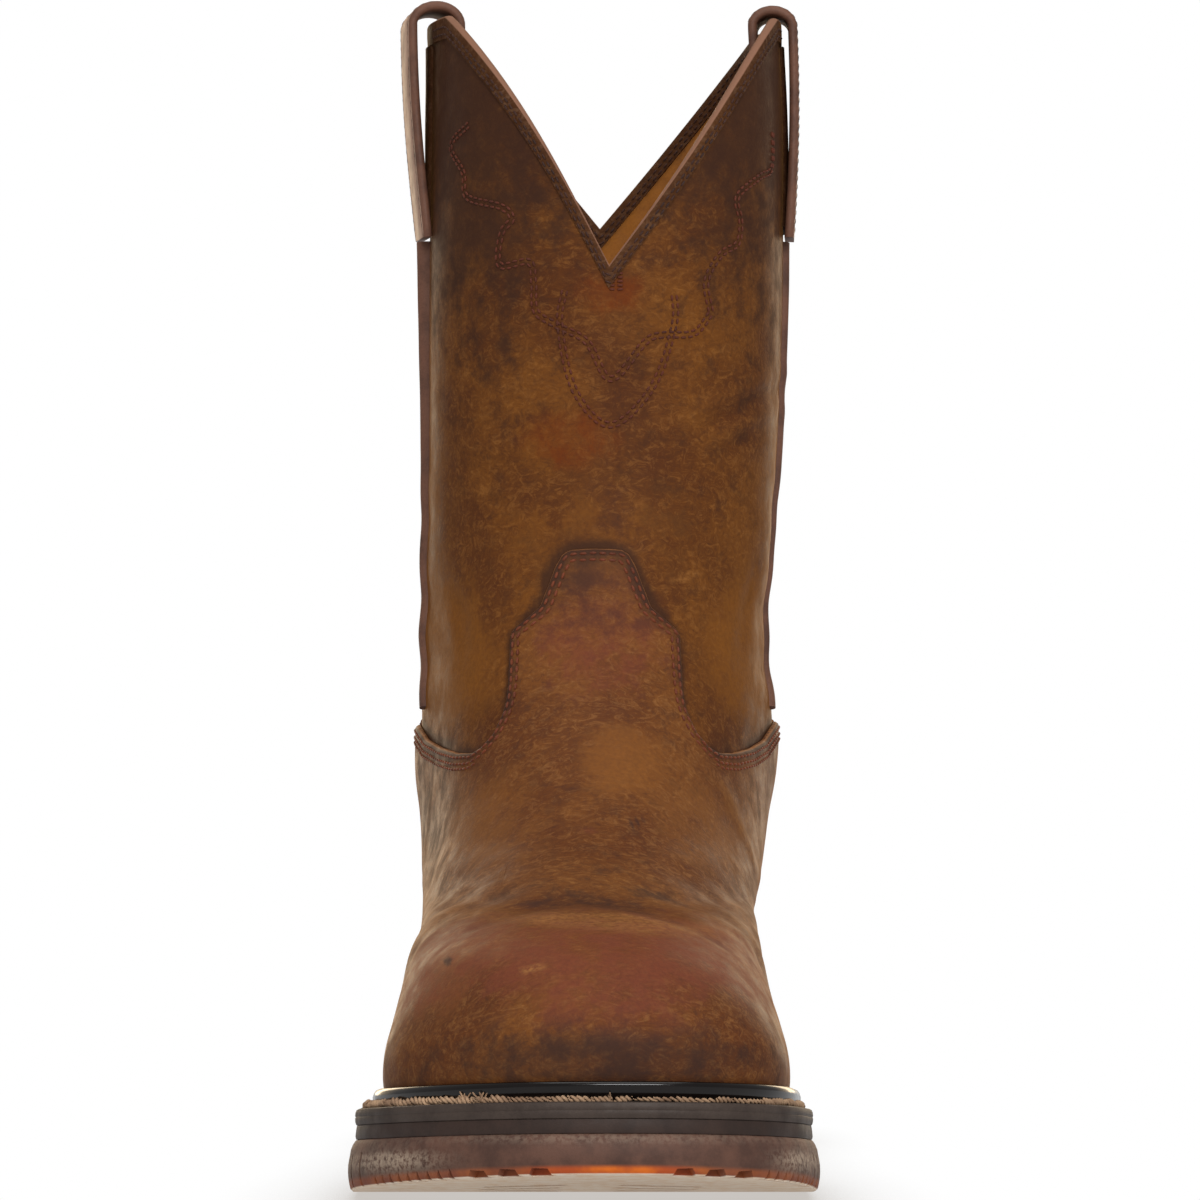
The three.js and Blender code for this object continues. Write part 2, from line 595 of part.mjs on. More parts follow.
// A pull strap: a flat loop up the outside of the shaft, over the collar and down the inside.
const makeStrap = (around, bowOut, rise) => {
  const clear = GAP + STRAP_THICKNESS / 2;
  const bow = (share) => bowOut * Math.sin((Math.PI / 2) * share);
  const inside = -WALL - clear - BINDING_THICKNESS - STRAP_INNER_SLACK;
  const collar = collarHeight(formPoint(around, TOP - 1), around, TOP - 1);
  const wallAt = (height, out) => facePoint(around, levelAt(around, () => height), out);
  const outerLeg = range(7, 0, 1).map((s) =>
    wallAt(lerp(STRAP_FOOT_HEIGHT, collar - 0.5, s), clear + bow(s) + s * BINDING_THICKNESS),
  );
  const innerLeg = range(4, 0, 1).map((s) =>
    wallAt(lerp(collar - 0.5, STRAP_INNER_HEIGHT, s), inside),
  );
  const [from, to] = [outerLeg.at(-1), innerLeg[0]];
  const middle = from.clone().lerp(to, 0.5);
  const radius = from.distanceTo(to) / 2;
  const across = from.clone().sub(middle).normalize();
  const crown = collar + rise - STRAP_THICKNESS / 2 - middle.z;
  const arc = range(6, 0, Math.PI)
    .slice(1, -1)
    .map((t) => {
      const p = middle.clone().addScaledVector(across, radius * Math.cos(t));
      return p.setZ(middle.z + crown * Math.sin(t));
    });
  const path = [...outerLeg, ...arc, ...innerLeg];
  const side = formPoint(around + STEP_AROUND, TOP - 2).sub(formPoint(around - STEP_AROUND, TOP - 2));
  side.setZ(0).normalize();
  const skin = (offset) =>
    path.map((p, i) => {
      const next = path[Math.min(i + 1, path.length - 1)];
      const last = path[Math.max(i - 1, 0)];
      const square = next.clone().sub(last).cross(side).normalize();
      const centre = p.clone().addScaledVector(square, offset);
      return [-1, 1].map((s) => centre.clone().addScaledVector(side, (s * STRAP_WIDTH) / 2));
    });
  return wallSolid(skin(STRAP_THICKNESS / 2), skin(-STRAP_THICKNESS / 2), false);
};

// The rand: a rounded rubber strip round the foot of the upper, standing on the welt.
const makeRand = () => {
  const ring = (out, rise) =>
    AROUND.map((a) => {
      const face = GAP + OVERLAY + GAP;
      const level = levelAt(a, (p) => weltTop(p.y) + GAP + rise, 0, TOP, face);
      const foot = facePoint(a, level, face);
      const next = facePoint(a + STEP_AROUND, level, face);
      const last = facePoint(a - STEP_AROUND, level, face);
      const along = new THREE.Vector2(next.x - last.x, next.y - last.y).normalize();
      const y = foot.y + along.x * out;
      return new THREE.Vector3(foot.x - along.y * out, y, weltTop(y) + GAP + rise);
    });
  const outer = [
    ring(RAND_WIDTH, 0),
    ring(RAND_WIDTH, RAND_HEIGHT * 0.4),
    ring(RAND_WIDTH * 0.75, RAND_HEIGHT * 0.8),
    ring(RAND_WIDTH * 0.35, RAND_HEIGHT),
  ];
  const inner = [0, 0.4, 0.7, 0.9].map((share) => ring(0, RAND_HEIGHT * share));
  return wallSolid(outer, inner, true);
};

const makeWelt = () => {
  const bottom = (y) => weltTop(y) - WELT_THICKNESS;
  const groove = (y) => weltTop(y) - WELT_THICKNESS / 2;
  const outer = [
    outline(WELT_MARGIN, bottom),
    outline(WELT_MARGIN + 0.5, groove),
    outline(WELT_MARGIN, weltTop),
    outline(0, weltTop),
  ];
  const inner = [
    outline(-WELT_INSET, bottom),
    outline(-WELT_INSET, groove),
    outline(-WELT_INSET, weltTop),
    outline(-WELT_INSET / 2, weltTop),
  ];
  return wallSolid(outer, inner, true);
};

// The insole: a board inside the foot of the upper, with the cork that fills the ring of the welt.
const makeInsole = () => {
  const cork = -WELT_INSET - GAP;
  const board = -OVERLAY - GAP - WALL - 2 * GAP;
  return plateSolid([
    outline(cork, (y) => weltTop(y) - WELT_THICKNESS),
    outline(cork, (y) => weltTop(y) + GAP),
    outline(board, (y) => weltTop(y) + GAP),
    outline(board, (y) => weltTop(y) + GAP + INSOLE_THICKNESS),
  ]);
};

const makeMidsole = () => {
  const top = (y) => weltTop(y) - WELT_THICKNESS - GAP;
  const bottom = (y) => top(y) - MIDSOLE_THICKNESS;
  return plateSolid([outline(WELT_MARGIN - 0.3, bottom), outline(WELT_MARGIN + 0.1, top)]);
};

// A box with its middle at a place, turned in plan.
const block = (size, place, turn = 0) =>
  new THREE.BoxGeometry(...size).rotateZ(turn).translate(...place);

// Notches in the lower edge of the sole, a pitch apart, between two distances round from the tip of
// the toe.
const edgeNotches = (from, to, depthZ) => {
  const line = outline(OUTSOLE_MARGIN, outsoleBottom);
  const notches = [];
  for (const way of [1, -1]) {
    let walked = 0;
    let due = from;
    for (let i = 0; i < COLUMNS / 2; i++) {
      const a = line.at(way * i);
      const b = line.at(way * (i + 1));
      const length = Math.hypot(b.x - a.x, b.y - a.y);
      while (due < Math.min(to, walked + length)) {
        const p = a.clone().lerp(b, (due - walked) / length);
        const turn = Math.atan2(b.y - a.y, b.x - a.x);
        const z = outsoleBottom(p.y) + depthZ / 2 - 1;
        notches.push(block([NOTCH_WIDTH, 2 * NOTCH_RUN, depthZ + 2], [p.x, p.y, z], turn));
        due += LUG_PITCH;
      }
      walked += length;
    }
  }
  return notches;
};

// Slanting grooves that leave bars across the middle of the forefoot.
const barGrooves = () => {
  const grooves = [];
  for (let y = TREAD_FRONT_Y; y < ARCH_FRONT_Y - BAR_GROOVE; y += BAR_PITCH)
    for (const side of [-1, 1]) {
      const x = swing(y) + (side * (BAR_LENGTH + BAR_SPLIT)) / 2;
      const z = outsoleBottom(y);
      grooves.push(block([BAR_LENGTH, BAR_GROOVE, 2 * LUG_DEPTH], [x, y, z], side * BAR_ANGLE));
    }
  return grooves;
};

// Upright slots in the sides of the forefoot.
const sideSlots = () => {
  const line = outline(OUTSOLE_MARGIN, outsoleBottom);
  return [-1, 1].flatMap((side) =>
    range(SLOT_COUNT - 1, 0, SLOT_COUNT - 1).map((n) => {
      const y = SLOT_FIRST_Y + n * SLOT_PITCH;
      const edge = line.filter((p) => p.x * side > CHANNEL_INSET);
      const near = edge.sort((a, b) => Math.abs(a.y - y) - Math.abs(b.y - y))[0];
      const size = [2 * SLOT_DEPTH, SLOT_WIDTH, SLOT_HEIGHT + 2];
      return block(size, [near.x, y, outsoleBottom(y) + SLOT_HEIGHT / 2 - 1]);
    }),
  );
};

// A channel that follows the edge of the tread.
const edgeChannel = (heightAt, depth) => {
  const rings = (inset) => [
    outline(-inset, (y) => heightAt(y) - 2),
    outline(-inset, (y) => heightAt(y) + depth),
  ];
  const inset = CHANNEL_INSET - OUTSOLE_MARGIN;
  return wallSolid(rings(inset), rings(inset + CHANNEL_WIDTH), true);
};

const makeOutsole = () => {
  const mid = (share) => (y) => lerp(outsoleBottom(y), outsoleTop(y), share);
  const body = plateSolid([
    outline(OUTSOLE_MARGIN - 0.6, mid(0)),
    outline(OUTSOLE_MARGIN, mid(0.35)),
    outline(OUTSOLE_MARGIN - 0.3, mid(0.62)),
    outline(lerp(WELT_MARGIN, OUTSOLE_MARGIN, 0.7), mid(0.8)),
    outline(lerp(WELT_MARGIN, OUTSOLE_MARGIN, 0.2), mid(1)),
  ]);
  const channel = toSolid(edgeChannel(outsoleBottom, LUG_DEPTH * 0.8));
  const fore = toSolid(block([REACH, REACH, REACH], [0, ARCH_FRONT_Y + CHANNEL_INSET - REACH / 2, 0]));
  const tread = [
    ...edgeNotches(TOE_BUMPER / 2 + NOTCH_WIDTH / 2, NOTCHED_EDGE, LUG_DEPTH),
    ...barGrooves(),
    ...sideSlots(),
  ];
  return cut(toGeometry(toSolid(body).subtract(channel.intersect(fore))), tread);
};

// The heel: a moulded block with a straight breast and a grooved tread.
const makeHeel = () => {
  const top = (y) => outsoleBottom(y) - GAP;
  const part = (share) => (y) => Math.max(0, top(y)) * share;
  const body = plateSolid([
    outline(OUTSOLE_MARGIN - HEEL_INSET - HEEL_TAPER, part(0)),
    outline(OUTSOLE_MARGIN - HEEL_INSET - HEEL_TAPER / 3, part(0.3)),
    outline(OUTSOLE_MARGIN - HEEL_INSET, part(1)),
  ]);
  const behind = toSolid(block([REACH, REACH, REACH], [0, HEEL_BREAST_Y + REACH / 2, 0]));
  const solid = toSolid(body).intersect(behind);
  const tread = new THREE.Box3().setFromPoints(
    outline(OUTSOLE_MARGIN - HEEL_INSET - HEEL_TAPER, part(0)).filter((p) => p.y > HEEL_BREAST_Y),
  );
  const pitch = (tread.max.y - HEEL_BREAST_Y) / (HEEL_GROOVES + 1);
  const grooves = range(HEEL_GROOVES - 1, 1, HEEL_GROOVES).flatMap((n) => {
    const y = HEEL_BREAST_Y + n * pitch;
    const size = [2 * HEEL_GROOVE_LENGTH, BAR_GROOVE, 2 * LUG_DEPTH];
    return [tread.min.x, tread.max.x].map((x) => block(size, [x, y, 0]));
  });
  return cut(toGeometry(solid), grooves);
};

// Colours and finishes.
const leather = new THREE.MeshStandardMaterial({ color: "#6a4229", roughness: 0.55 });
const redLeather = new THREE.MeshStandardMaterial({ color: "#6e4430", roughness: 0.55 });
const strapLeather = new THREE.MeshStandardMaterial({ color: "#6b4a3c", roughness: 0.6 });
const blackRubber = new THREE.MeshStandardMaterial({ color: "#423733", roughness: 0.6 });
const glossRubber = new THREE.MeshStandardMaterial({ color: "#2b211b", roughness: 0.2 });
const brownRubber = new THREE.MeshStandardMaterial({ color: "#604337", roughness: 0.65 });
const board = new THREE.MeshStandardMaterial({ color: "#8a6a44", roughness: 0.9 });

const LATERAL_STRAP = 0.24;
const MEDIAL_STRAP = 0.755;
const boot = new THREE.Group();
const add = (name, geometry, material) => {
  const mesh = new THREE.Mesh(geometry, material);
  mesh.name = name;
  boot.add(mesh);
};
add("outsole", makeOutsole(), brownRubber);
add("heel", makeHeel(), brownRubber);
add("midsole", makeMidsole(), blackRubber);
add("welt", makeWelt(), blackRubber);
add("rand", makeRand(), glossRubber);
add("insole", makeInsole(), board);
add("upper", makeUpper(), leather);
add("vamp", makeVamp(), redLeather);
add("counter", makeCounter(), leather);
add("collar_binding", makeBinding(), strapLeather);
add("side_piping_lateral", makePiping(LATERAL_STRAP, LATERAL_PIPING_HEIGHT), strapLeather);
add("side_piping_medial", makePiping(MEDIAL_STRAP, MEDIAL_PIPING_HEIGHT), strapLeather);
add("pull_strap_lateral", makeStrap(LATERAL_STRAP, LATERAL_STRAP_BOW, LATERAL_STRAP_RISE), strapLeather);
add("pull_strap_medial", makeStrap(MEDIAL_STRAP, MEDIAL_STRAP_BOW, MEDIAL_STRAP_RISE), strapLeather);

export default boot;
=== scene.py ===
"""The looks of a worn roper boot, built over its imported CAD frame.

Sizes in the tables are millimetres. The boot stands on z 0, its toe points to -Y and its medial
side to +X. Shares of the way round an upper start at the front and run by the lateral side.
"""

import sys

import logging
import math
from collections.abc import Callable, Sequence
from dataclasses import dataclass, field
from enum import Enum
from typing import ClassVar

import bpy
import numpy as np
from mathutils import Euler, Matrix
from mathutils.kdtree import KDTree


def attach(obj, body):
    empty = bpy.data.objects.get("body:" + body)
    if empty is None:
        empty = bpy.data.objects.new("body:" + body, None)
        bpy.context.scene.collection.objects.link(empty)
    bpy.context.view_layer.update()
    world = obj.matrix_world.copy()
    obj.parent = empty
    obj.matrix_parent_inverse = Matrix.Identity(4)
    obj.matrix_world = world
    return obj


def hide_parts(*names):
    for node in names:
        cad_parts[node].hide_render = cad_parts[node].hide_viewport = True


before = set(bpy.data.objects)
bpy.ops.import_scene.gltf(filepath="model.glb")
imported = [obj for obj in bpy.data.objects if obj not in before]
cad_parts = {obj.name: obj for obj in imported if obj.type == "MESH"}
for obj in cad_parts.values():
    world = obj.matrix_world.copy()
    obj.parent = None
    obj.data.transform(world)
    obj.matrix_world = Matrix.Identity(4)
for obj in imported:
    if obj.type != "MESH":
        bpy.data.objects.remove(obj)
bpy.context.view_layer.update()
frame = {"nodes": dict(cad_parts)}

Array = np.ndarray
Point = tuple[float, float]
Triple = tuple[float, float, float]
Rise = Callable[[Array], Array]
Material = bpy.types.Material
Object = bpy.types.Object
Socket = bpy.types.NodeSocket
log = logging.getLogger("boot")

MM = 0.001
# The clearance between pieces, the shaft's wall, an overlay's leather and the wall at the collar.
GAP = 0.3
WALL = 2.4
OVERLAY = 1.5
EDGE_WALL = 1.3
# What every random draw starts from.
SEED = 41


def smooth(t: Array | float) -> Array:
    """Eases a share from 0 to 1, clipped at both ends."""
    s = np.clip(t, 0, 1)
    return s * s * (3 - 2 * s)


def bell(distance: Array | float) -> Array:
    """A soft bump, 1 in the middle and nearly 0 beyond a distance of 2."""
    return np.exp(-np.square(distance))


def curve_at(p0: Array, p1: Array, p2: Array, p3: Array, t: Array | float) -> Array:
    """A point on the smooth curve through four, at a share of the way from the second to the third."""
    square, cube = 2 * p0 - 5 * p1 + 4 * p2 - p3, 3 * p1 - p0 - 3 * p2 + p3
    return 0.5 * (2 * p1 + (p2 - p0) * t + square * t * t + cube * t**3)


def unit(vectors: Array) -> Array:
    """The vectors at length 1."""
    return vectors / np.maximum(np.linalg.norm(vectors, axis=-1, keepdims=True), 1e-9)


class View(Enum):
    """The side from which a drawn line or patch is placed."""

    FRONT = "front"
    LATERAL = "lateral"
    MEDIAL = "medial"
    BACK = "back"


@dataclass(frozen=True)
class Lens:
    """The camera of the front view.

    Attributes:
        y: Its place in front of the boot.
        z: Its height.
        focal: Its focal length.
        sensor: The width of its sensor.
        frame: The picture's side in pixels.
    """

    y: float = -1650
    z: float = 150
    focal: float = 176.85
    sensor: float = 36
    frame: float = 1200

    def pixels(self, points: Array) -> Array:
        """Where points fall in the picture."""
        scale = self.focal / self.sensor * self.frame / (points[..., 1] - self.y)
        across = self.frame / 2 + points[..., 0] * scale
        return np.stack([across, self.frame / 2 - (points[..., 2] - self.z) * scale], -1)

    def add(self) -> None:
        """Puts the camera in the scene."""
        bpy.ops.object.camera_add(location=(0, self.y * MM, self.z * MM))
        camera = bpy.context.object
        camera.name = "camera"
        camera.rotation_euler = Euler((math.pi / 2, 0, 0))
        camera.data.sensor_width = self.sensor
        camera.data.lens = self.focal
        camera.data.clip_end = 20
        bpy.context.scene.camera = camera


LENS = Lens()


@dataclass(frozen=True)
class Ground:
    """The profile that the welt and the sole follow from heel to toe."""

    ball_stack: float = 21.2
    heel_lift: float = 18.8
    toe_lift: float = 10.4
    toe_taper: float = 3.9
    roll_y: float = -151
    roll_length: float = 106
    roll_curve: float = 1.35
    arch_front: float = -106
    arch_back: float = 8
    thin_back: float = -66
    welt: float = 4.1
    midsole: float = 2.9
    shank: float = 6.6

    def roll(self, y: Array) -> Array:
        """How far the toe has sprung up, 1 at its tip."""
        return np.maximum(0, (self.roll_y - y) / self.roll_length) ** self.roll_curve

    def welt_top(self, y: Array) -> Array:
        """The height of the welt's top."""
        rise = smooth((y - self.arch_front) / (self.arch_back - self.arch_front))
        return self.ball_stack + self.heel_lift * rise + self.toe_lift * self.roll(y)

    def midsole_top(self, y: Array) -> Array:
        """The height of the midsole's top."""
        return self.welt_top(y) - self.welt - GAP

    def sole_top(self, y: Array) -> Array:
        """The height of the outsole's top."""
        return self.midsole_top(y) - self.midsole - GAP

    def sole_bottom(self, y: Array) -> Array:
        """The height of the outsole's underside."""
        tread = self.ball_stack - self.welt - self.midsole - 2 * GAP
        thin = smooth((y - self.arch_front) / (self.thin_back - self.arch_front))
        return self.sole_top(y) - (tread + (self.shank - tread) * thin - self.toe_taper * self.roll(y))


GROUND = Ground()

# Sections of the foot, from the feather line to the ankle: front point, its rise, back point, its
# rise, half widths at heel, lateral waist, medial waist and ball, rounded ends and how square they
# are, and how far the section follows the welt.
FOOT = (
    (0.983, 0, 0.01, 0, 0.335, 0.41, 0.345, 0.487, 0.22, 0.14, 2.3, 2.2, 1),
    (0.997, 0.047, 0.004, 0.065, 0.345, 0.42, 0.36, 0.496, 0.22, 0.14, 2.3, 2.2, 0.85),
    (1, 0.095, 0, 0.125, 0.355, 0.43, 0.375, 0.491, 0.23, 0.15, 2.3, 2.2, 0.7),
    (0.993, 0.147, -0.004, 0.18, 0.36, 0.436, 0.385, 0.472, 0.25, 0.155, 2.3, 2.2, 0.55),
    (0.97, 0.204, -0.006, 0.23, 0.365, 0.44, 0.39, 0.451, 0.28, 0.16, 2.3, 2.2, 0.4),
    (0.932, 0.26, -0.006, 0.28, 0.368, 0.446, 0.395, 0.436, 0.32, 0.17, 2.3, 2.2, 0.28),
    (0.88, 0.296, -0.004, 0.32, 0.37, 0.45, 0.4, 0.425, 0.37, 0.185, 2.25, 2.2, 0.18),
    (0.815, 0.318, -0.002, 0.36, 0.373, 0.459, 0.407, 0.42, 0.43, 0.2, 2.2, 2.2, 0.1),
    (0.745, 0.336, 0, 0.4, 0.376, 0.465, 0.417, 0.424, 0.48, 0.22, 2.1, 2.2, 0.05),
    (0.675, 0.389, 0.003, 0.44, 0.378, 0.471, 0.43, 0.43, 0.52, 0.245, 2.1, 2.2, 0),
    (0.605, 0.469, 0.007, 0.49, 0.381, 0.475, 0.445, 0.435, 0.55, 0.27, 2.1, 2.2, 0),
    (0.54, 0.574, 0.012, 0.565, 0.388, 0.483, 0.46, 0.445, 0.56, 0.31, 2.1, 2.2, 0),
    (0.48, 0.702, 0.018, 0.667, 0.402, 0.498, 0.482, 0.458, 0.55, 0.36, 2.15, 2.2, 0),
    (0.432, 0.85, 0.023, 0.81, 0.414, 0.498, 0.488, 0.465, 0.53, 0.41, 2.2, 2.2, 0),
    (0.402, 1, 0.022, 1, 0.424, 0.498, 0.462, 0.462, 0.5, 0.46, 2.2, 2.2, 0),
)
# Sections of the shaft, in the same order up to the half width at the ball.
SHAFT = (
    (0.508, 0.131, 0.328, 0.105, 0.45, 0.484, 0.457, 0.47),
    (0.492, 0.275, 0.359, 0.246, 0.465, 0.474, 0.478, 0.478),
    (0.484, 0.451, 0.398, 0.429, 0.473, 0.478, 0.494, 0.484),
    (0.484, 0.647, 0.4375, 0.623, 0.48, 0.484, 0.5, 0.487),
    (0.492, 0.843, 0.469, 0.832, 0.482, 0.489, 0.492, 0.485),
    (0.5, 1.046, 0.492, 1.037, 0.476, 0.492, 0.472, 0.475),
)
SHAFT_ENDS = (0.5, 0.5, 2.25, 2.25, 0)
SWING = ((0, 0), (0.3, -0.005), (0.55, -0.025), (0.68, -0.038), (0.82, -0.033), (1, 0.032))
ANKLE = len(FOOT) - 1
TOP = len(FOOT) + len(SHAFT) - 1


@dataclass
class Form:
    """The face of the upper, as a function of the way round and of the level.

    Attributes:
        relief: Folds and creases in mm, on a grid of way round and level.
        paint: What wear has done to the leather, with painted shade in creases and beside seams and painted
            highlights on ridges, by name, on the same grid.
        PER_LEVEL: Rows of the grid for each level of the foot.
        SHAFT_STEP: How many times as many a level of the shaft gets.
        WAYS: Columns of the grid.
        HEEL_AT: The share of the length where the heel starts to widen, and WAIST_AT the waist.
        EASE: The share over which it does.
        seen: Points that each view can see, once they are worked out.
    """

    PER_LEVEL: ClassVar[int] = 24
    SHAFT_STEP: ClassVar[float] = 2.5
    WAYS: ClassVar[int] = 900
    HEEL_AT: ClassVar[float] = 0.14
    WAIST_AT: ClassVar[float] = 0.42
    EASE: ClassVar[float] = 0.28
    seen: ClassVar[dict[View, tuple[Array, Array, Array]]] = {}

    length: float = 288
    back_y: float = 36
    ball: float = 98
    ankle_front: float = 156
    ankle_back: float = 118
    shaft_width: float = 100
    shaft_depth: float = 128
    shaft_y: float = -10
    wing: float = 309
    front_dip: float = 239
    back_dip: float = 256
    wing_spread: float = 45
    bulge_lateral: float = 0.07
    bulge_medial: float = -0.04
    offset: float = -0.5
    lean: float = 2.2
    twist: float = math.radians(1.3)
    relief: Array | None = None
    paint: dict[str, Array] = field(default_factory=dict)

    def __post_init__(self) -> None:
        """Turns the tables of sections into rows of millimetres."""
        foot = np.array(FOOT, float)
        shaft = np.hstack([np.array(SHAFT, float), np.tile(SHAFT_ENDS, (len(SHAFT), 1))])
        rows = np.vstack([foot, shaft])
        ends = self.back_y - foot[0, [0, 2]] * self.length
        self.feather_y = tuple(ends)
        self.feather_z = tuple(GROUND.welt_top(ends) + GAP)
        toe, heel = self.feather_z
        front, rise, back, back_rise = rows[:, :4].T.copy()
        is_foot = np.arange(len(rows)) <= ANKLE
        depth = np.where(is_foot, self.length, self.shaft_depth)
        front = np.where(is_foot, self.back_y, self.shaft_y) - front * depth
        back = np.where(is_foot, self.back_y - back * depth, self.shaft_y + back * depth)
        low, high = self.ankle_front, self.wing
        rise = np.where(is_foot, toe + (low - toe) * rise, low + (high - low) * rise)
        low = self.ankle_back
        back_rise = np.where(is_foot, heel + (low - heel) * back_rise, low + (high - low) * back_rise)
        rows[:, :4] = np.column_stack([front, rise, back, back_rise])
        width = np.where(is_foot, self.ball, self.shaft_width)
        self.rows = np.column_stack([rows, width, ~is_foot])

    def between(self, level: Array) -> Array:
        """The section at a level, blended from its neighbours."""
        low = np.clip(np.floor(level).astype(int), 0, TOP - 1)
        rows = [self.rows[np.clip(low + n, 0, TOP)] for n in (-1, 0, 1, 2)]
        return curve_at(*rows, (level - low)[:, None])

    def swing(self, y: Array) -> Array:
        """How far the middle of the last is swung sideways."""
        share = np.clip((self.back_y - y) / self.length, 0, 1)
        at, off = np.array(SWING).T
        i = np.clip(np.searchsorted(at, share, side="right") - 1, 0, len(at) - 2)
        t = smooth((share - at[i]) / (at[i + 1] - at[i]))
        return self.ball * (off[i] + (off[i + 1] - off[i]) * t)

    def point(self, around: Array, level: Array) -> Array:
        """Points of the smooth outer face.

        Args:
            around: Shares of the way round.
            level: Sections counted from the feather line.

        Returns:
            The points in mm, one row each.
        """
        around, level = np.broadcast_arrays(np.asarray(around, float), np.asarray(level, float))
        shape = around.shape
        around, level = around.ravel(), level.ravel()
        (
            front, front_rise, back, back_rise, heel, lateral_waist, medial_waist, ball,
            toe_round, heel_round, toe_power, heel_power, follow, width, in_shaft,
        ) = self.between(level).T
        share = (1 + np.cos(2 * np.pi * around)) / 2
        lateral = np.sin(2 * np.pi * around) >= 0
        y = back + (front - back) * share
        (toe_y, heel_y), (toe_z, heel_z) = self.feather_y, self.feather_z
        chord = heel_z + (toe_z - heel_z) * (y - heel_y) / (toe_y - heel_y)
        z = back_rise + (front_rise - back_rise) * share + follow * (GROUND.welt_top(y) + GAP - chord)
        waist = np.where(lateral, lateral_waist, medial_waist)
        rear = heel + (waist - heel) * smooth((share - self.HEEL_AT) / self.EASE)
        fore = waist + (ball - waist) * smooth((share - self.WAIST_AT) / self.EASE)
        ahead = np.maximum(0, (share - 1 + toe_round) / toe_round)
        behind = np.maximum(0, (heel_round - share) / heel_round)
        tips = np.maximum(0, 1 - ahead**toe_power) ** (1 / toe_power)
        tips = tips * np.maximum(0, 1 - behind**heel_power) ** (1 / heel_power)
        half = width * np.where(share < self.WAIST_AT, rear, fore) * tips
        lean = self.lean * smooth((z - self.ankle_back) / (self.wing - self.ankle_back))
        turned = lean + math.tan(self.twist) * (self.shaft_y - y) + self.offset
        middle = self.swing(y) * (1 - in_shaft) + turned * in_shaft
        x = middle + np.where(lateral, -half, half)
        return np.stack([x, y, z], -1).reshape(*shape, 3)

    def normal(self, around: Array, level: Array) -> Array:
        """The directions that point out of the leather."""
        around, level = np.broadcast_arrays(np.asarray(around, float), np.asarray(level, float))
        along = self.point(around + 0.004, level) - self.point(around - 0.004, level)
        high, low = np.minimum(TOP, level + 0.12), np.maximum(0, level - 0.12)
        return unit(np.cross(self.point(around, high) - self.point(around, low), along))

    def face(self, around: Array, level: Array, out: Array | float = 0, bare: bool = False) -> Array:
        """Points of the worn face, moved out of the leather.

        Args:
            around: Shares of the way round.
            level: Levels.
            out: How far out, in mm.
            bare: Leaves the creases out.

        Returns:
            The points in mm.
        """
        out = np.asarray(out, float)
        if self.relief is not None and not bare:
            out = out + self.sample(self.relief, around, level)
        return self.point(around, level) + self.normal(around, level) * out[..., None]

    @staticmethod
    def row_of(level: Array) -> Array:
        """The grid's row for a level; the shaft's levels are further apart."""
        row = np.where(level < ANKLE, level, ANKLE + (level - ANKLE) * Form.SHAFT_STEP)
        return row * Form.PER_LEVEL

    def sample(self, grid: Array, around: Array, level: Array) -> Array:
        """Reads a grid of way round and level between its points."""
        around, level = np.broadcast_arrays(np.asarray(around, float), np.asarray(level, float))
        u = (around % 1) * grid.shape[0]
        v = np.clip(self.row_of(level), 0, grid.shape[1] - 1.001)
        i, j = np.floor(u).astype(int), np.floor(v).astype(int)
        s, t = u - i, v - j
        a, b = i % grid.shape[0], (i + 1) % grid.shape[0]
        low = grid[a, j] * (1 - s) + grid[b, j] * s
        high = grid[a, j + 1] * (1 - s) + grid[b, j + 1] * s
        return low * (1 - t) + high * t

    def grid(self) -> tuple[Array, Array]:
        """The ways round and levels of the grids for relief and paint."""
        count = int(self.PER_LEVEL * (ANKLE + (TOP - ANKLE) * self.SHAFT_STEP)) + 1
        row = np.arange(count) / self.PER_LEVEL
        level = np.where(row < ANKLE, row, ANKLE + (row - ANKLE) / self.SHAFT_STEP)
        return np.meshgrid(np.arange(self.WAYS) / self.WAYS, level, indexing="ij")

    def level_at(self, around: Array, height: Callable[..., Array], low: float = 0, out: float = 0) -> Array:
        """The levels at which the smooth face reaches a height that depends on the place."""
        around = np.asarray(around, float)
        a, b = np.full(around.shape, float(low)), np.full(around.shape, float(TOP))
        for _ in range(22):
            mid = (a + b) / 2
            p = self.face(around, mid, out, bare=True) if out else self.point(around, mid)
            under = p[..., 2] < height(p, around, mid)
            a, b = np.where(under, mid, a), np.where(under, b, mid)
        return (a + b) / 2

    def level_of(self, around: Array, height: float) -> Array:
        """The levels at which the smooth face reaches one height."""
        return self.level_at(around, lambda p, a, n: height + 0 * p[..., 2])

    def collar_height(self, p: Array, around: Array, level: Array) -> Array:
        """The height of the scalloped collar over a point."""
        fore = np.cos(2 * np.pi * around) >= 0
        dip = self.point(np.where(fore, 0, 0.5), level)
        share = np.minimum(1, np.abs(p[..., 0] - dip[..., 0]) / self.wing_spread)
        bulge = np.where(p[..., 0] < dip[..., 0], self.bulge_lateral, self.bulge_medial) * fore
        low = np.where(fore, self.front_dip, self.back_dip)
        return low + (self.wing - low) * (share + bulge * np.sin(np.pi * share))

    def collar(self, around: Array, below: float = 0) -> Array:
        """The levels of the collar's edge, or of a line some mm below it."""
        return self.level_at(around, lambda p, a, n: self.collar_height(p, a, n) - below, ANKLE)

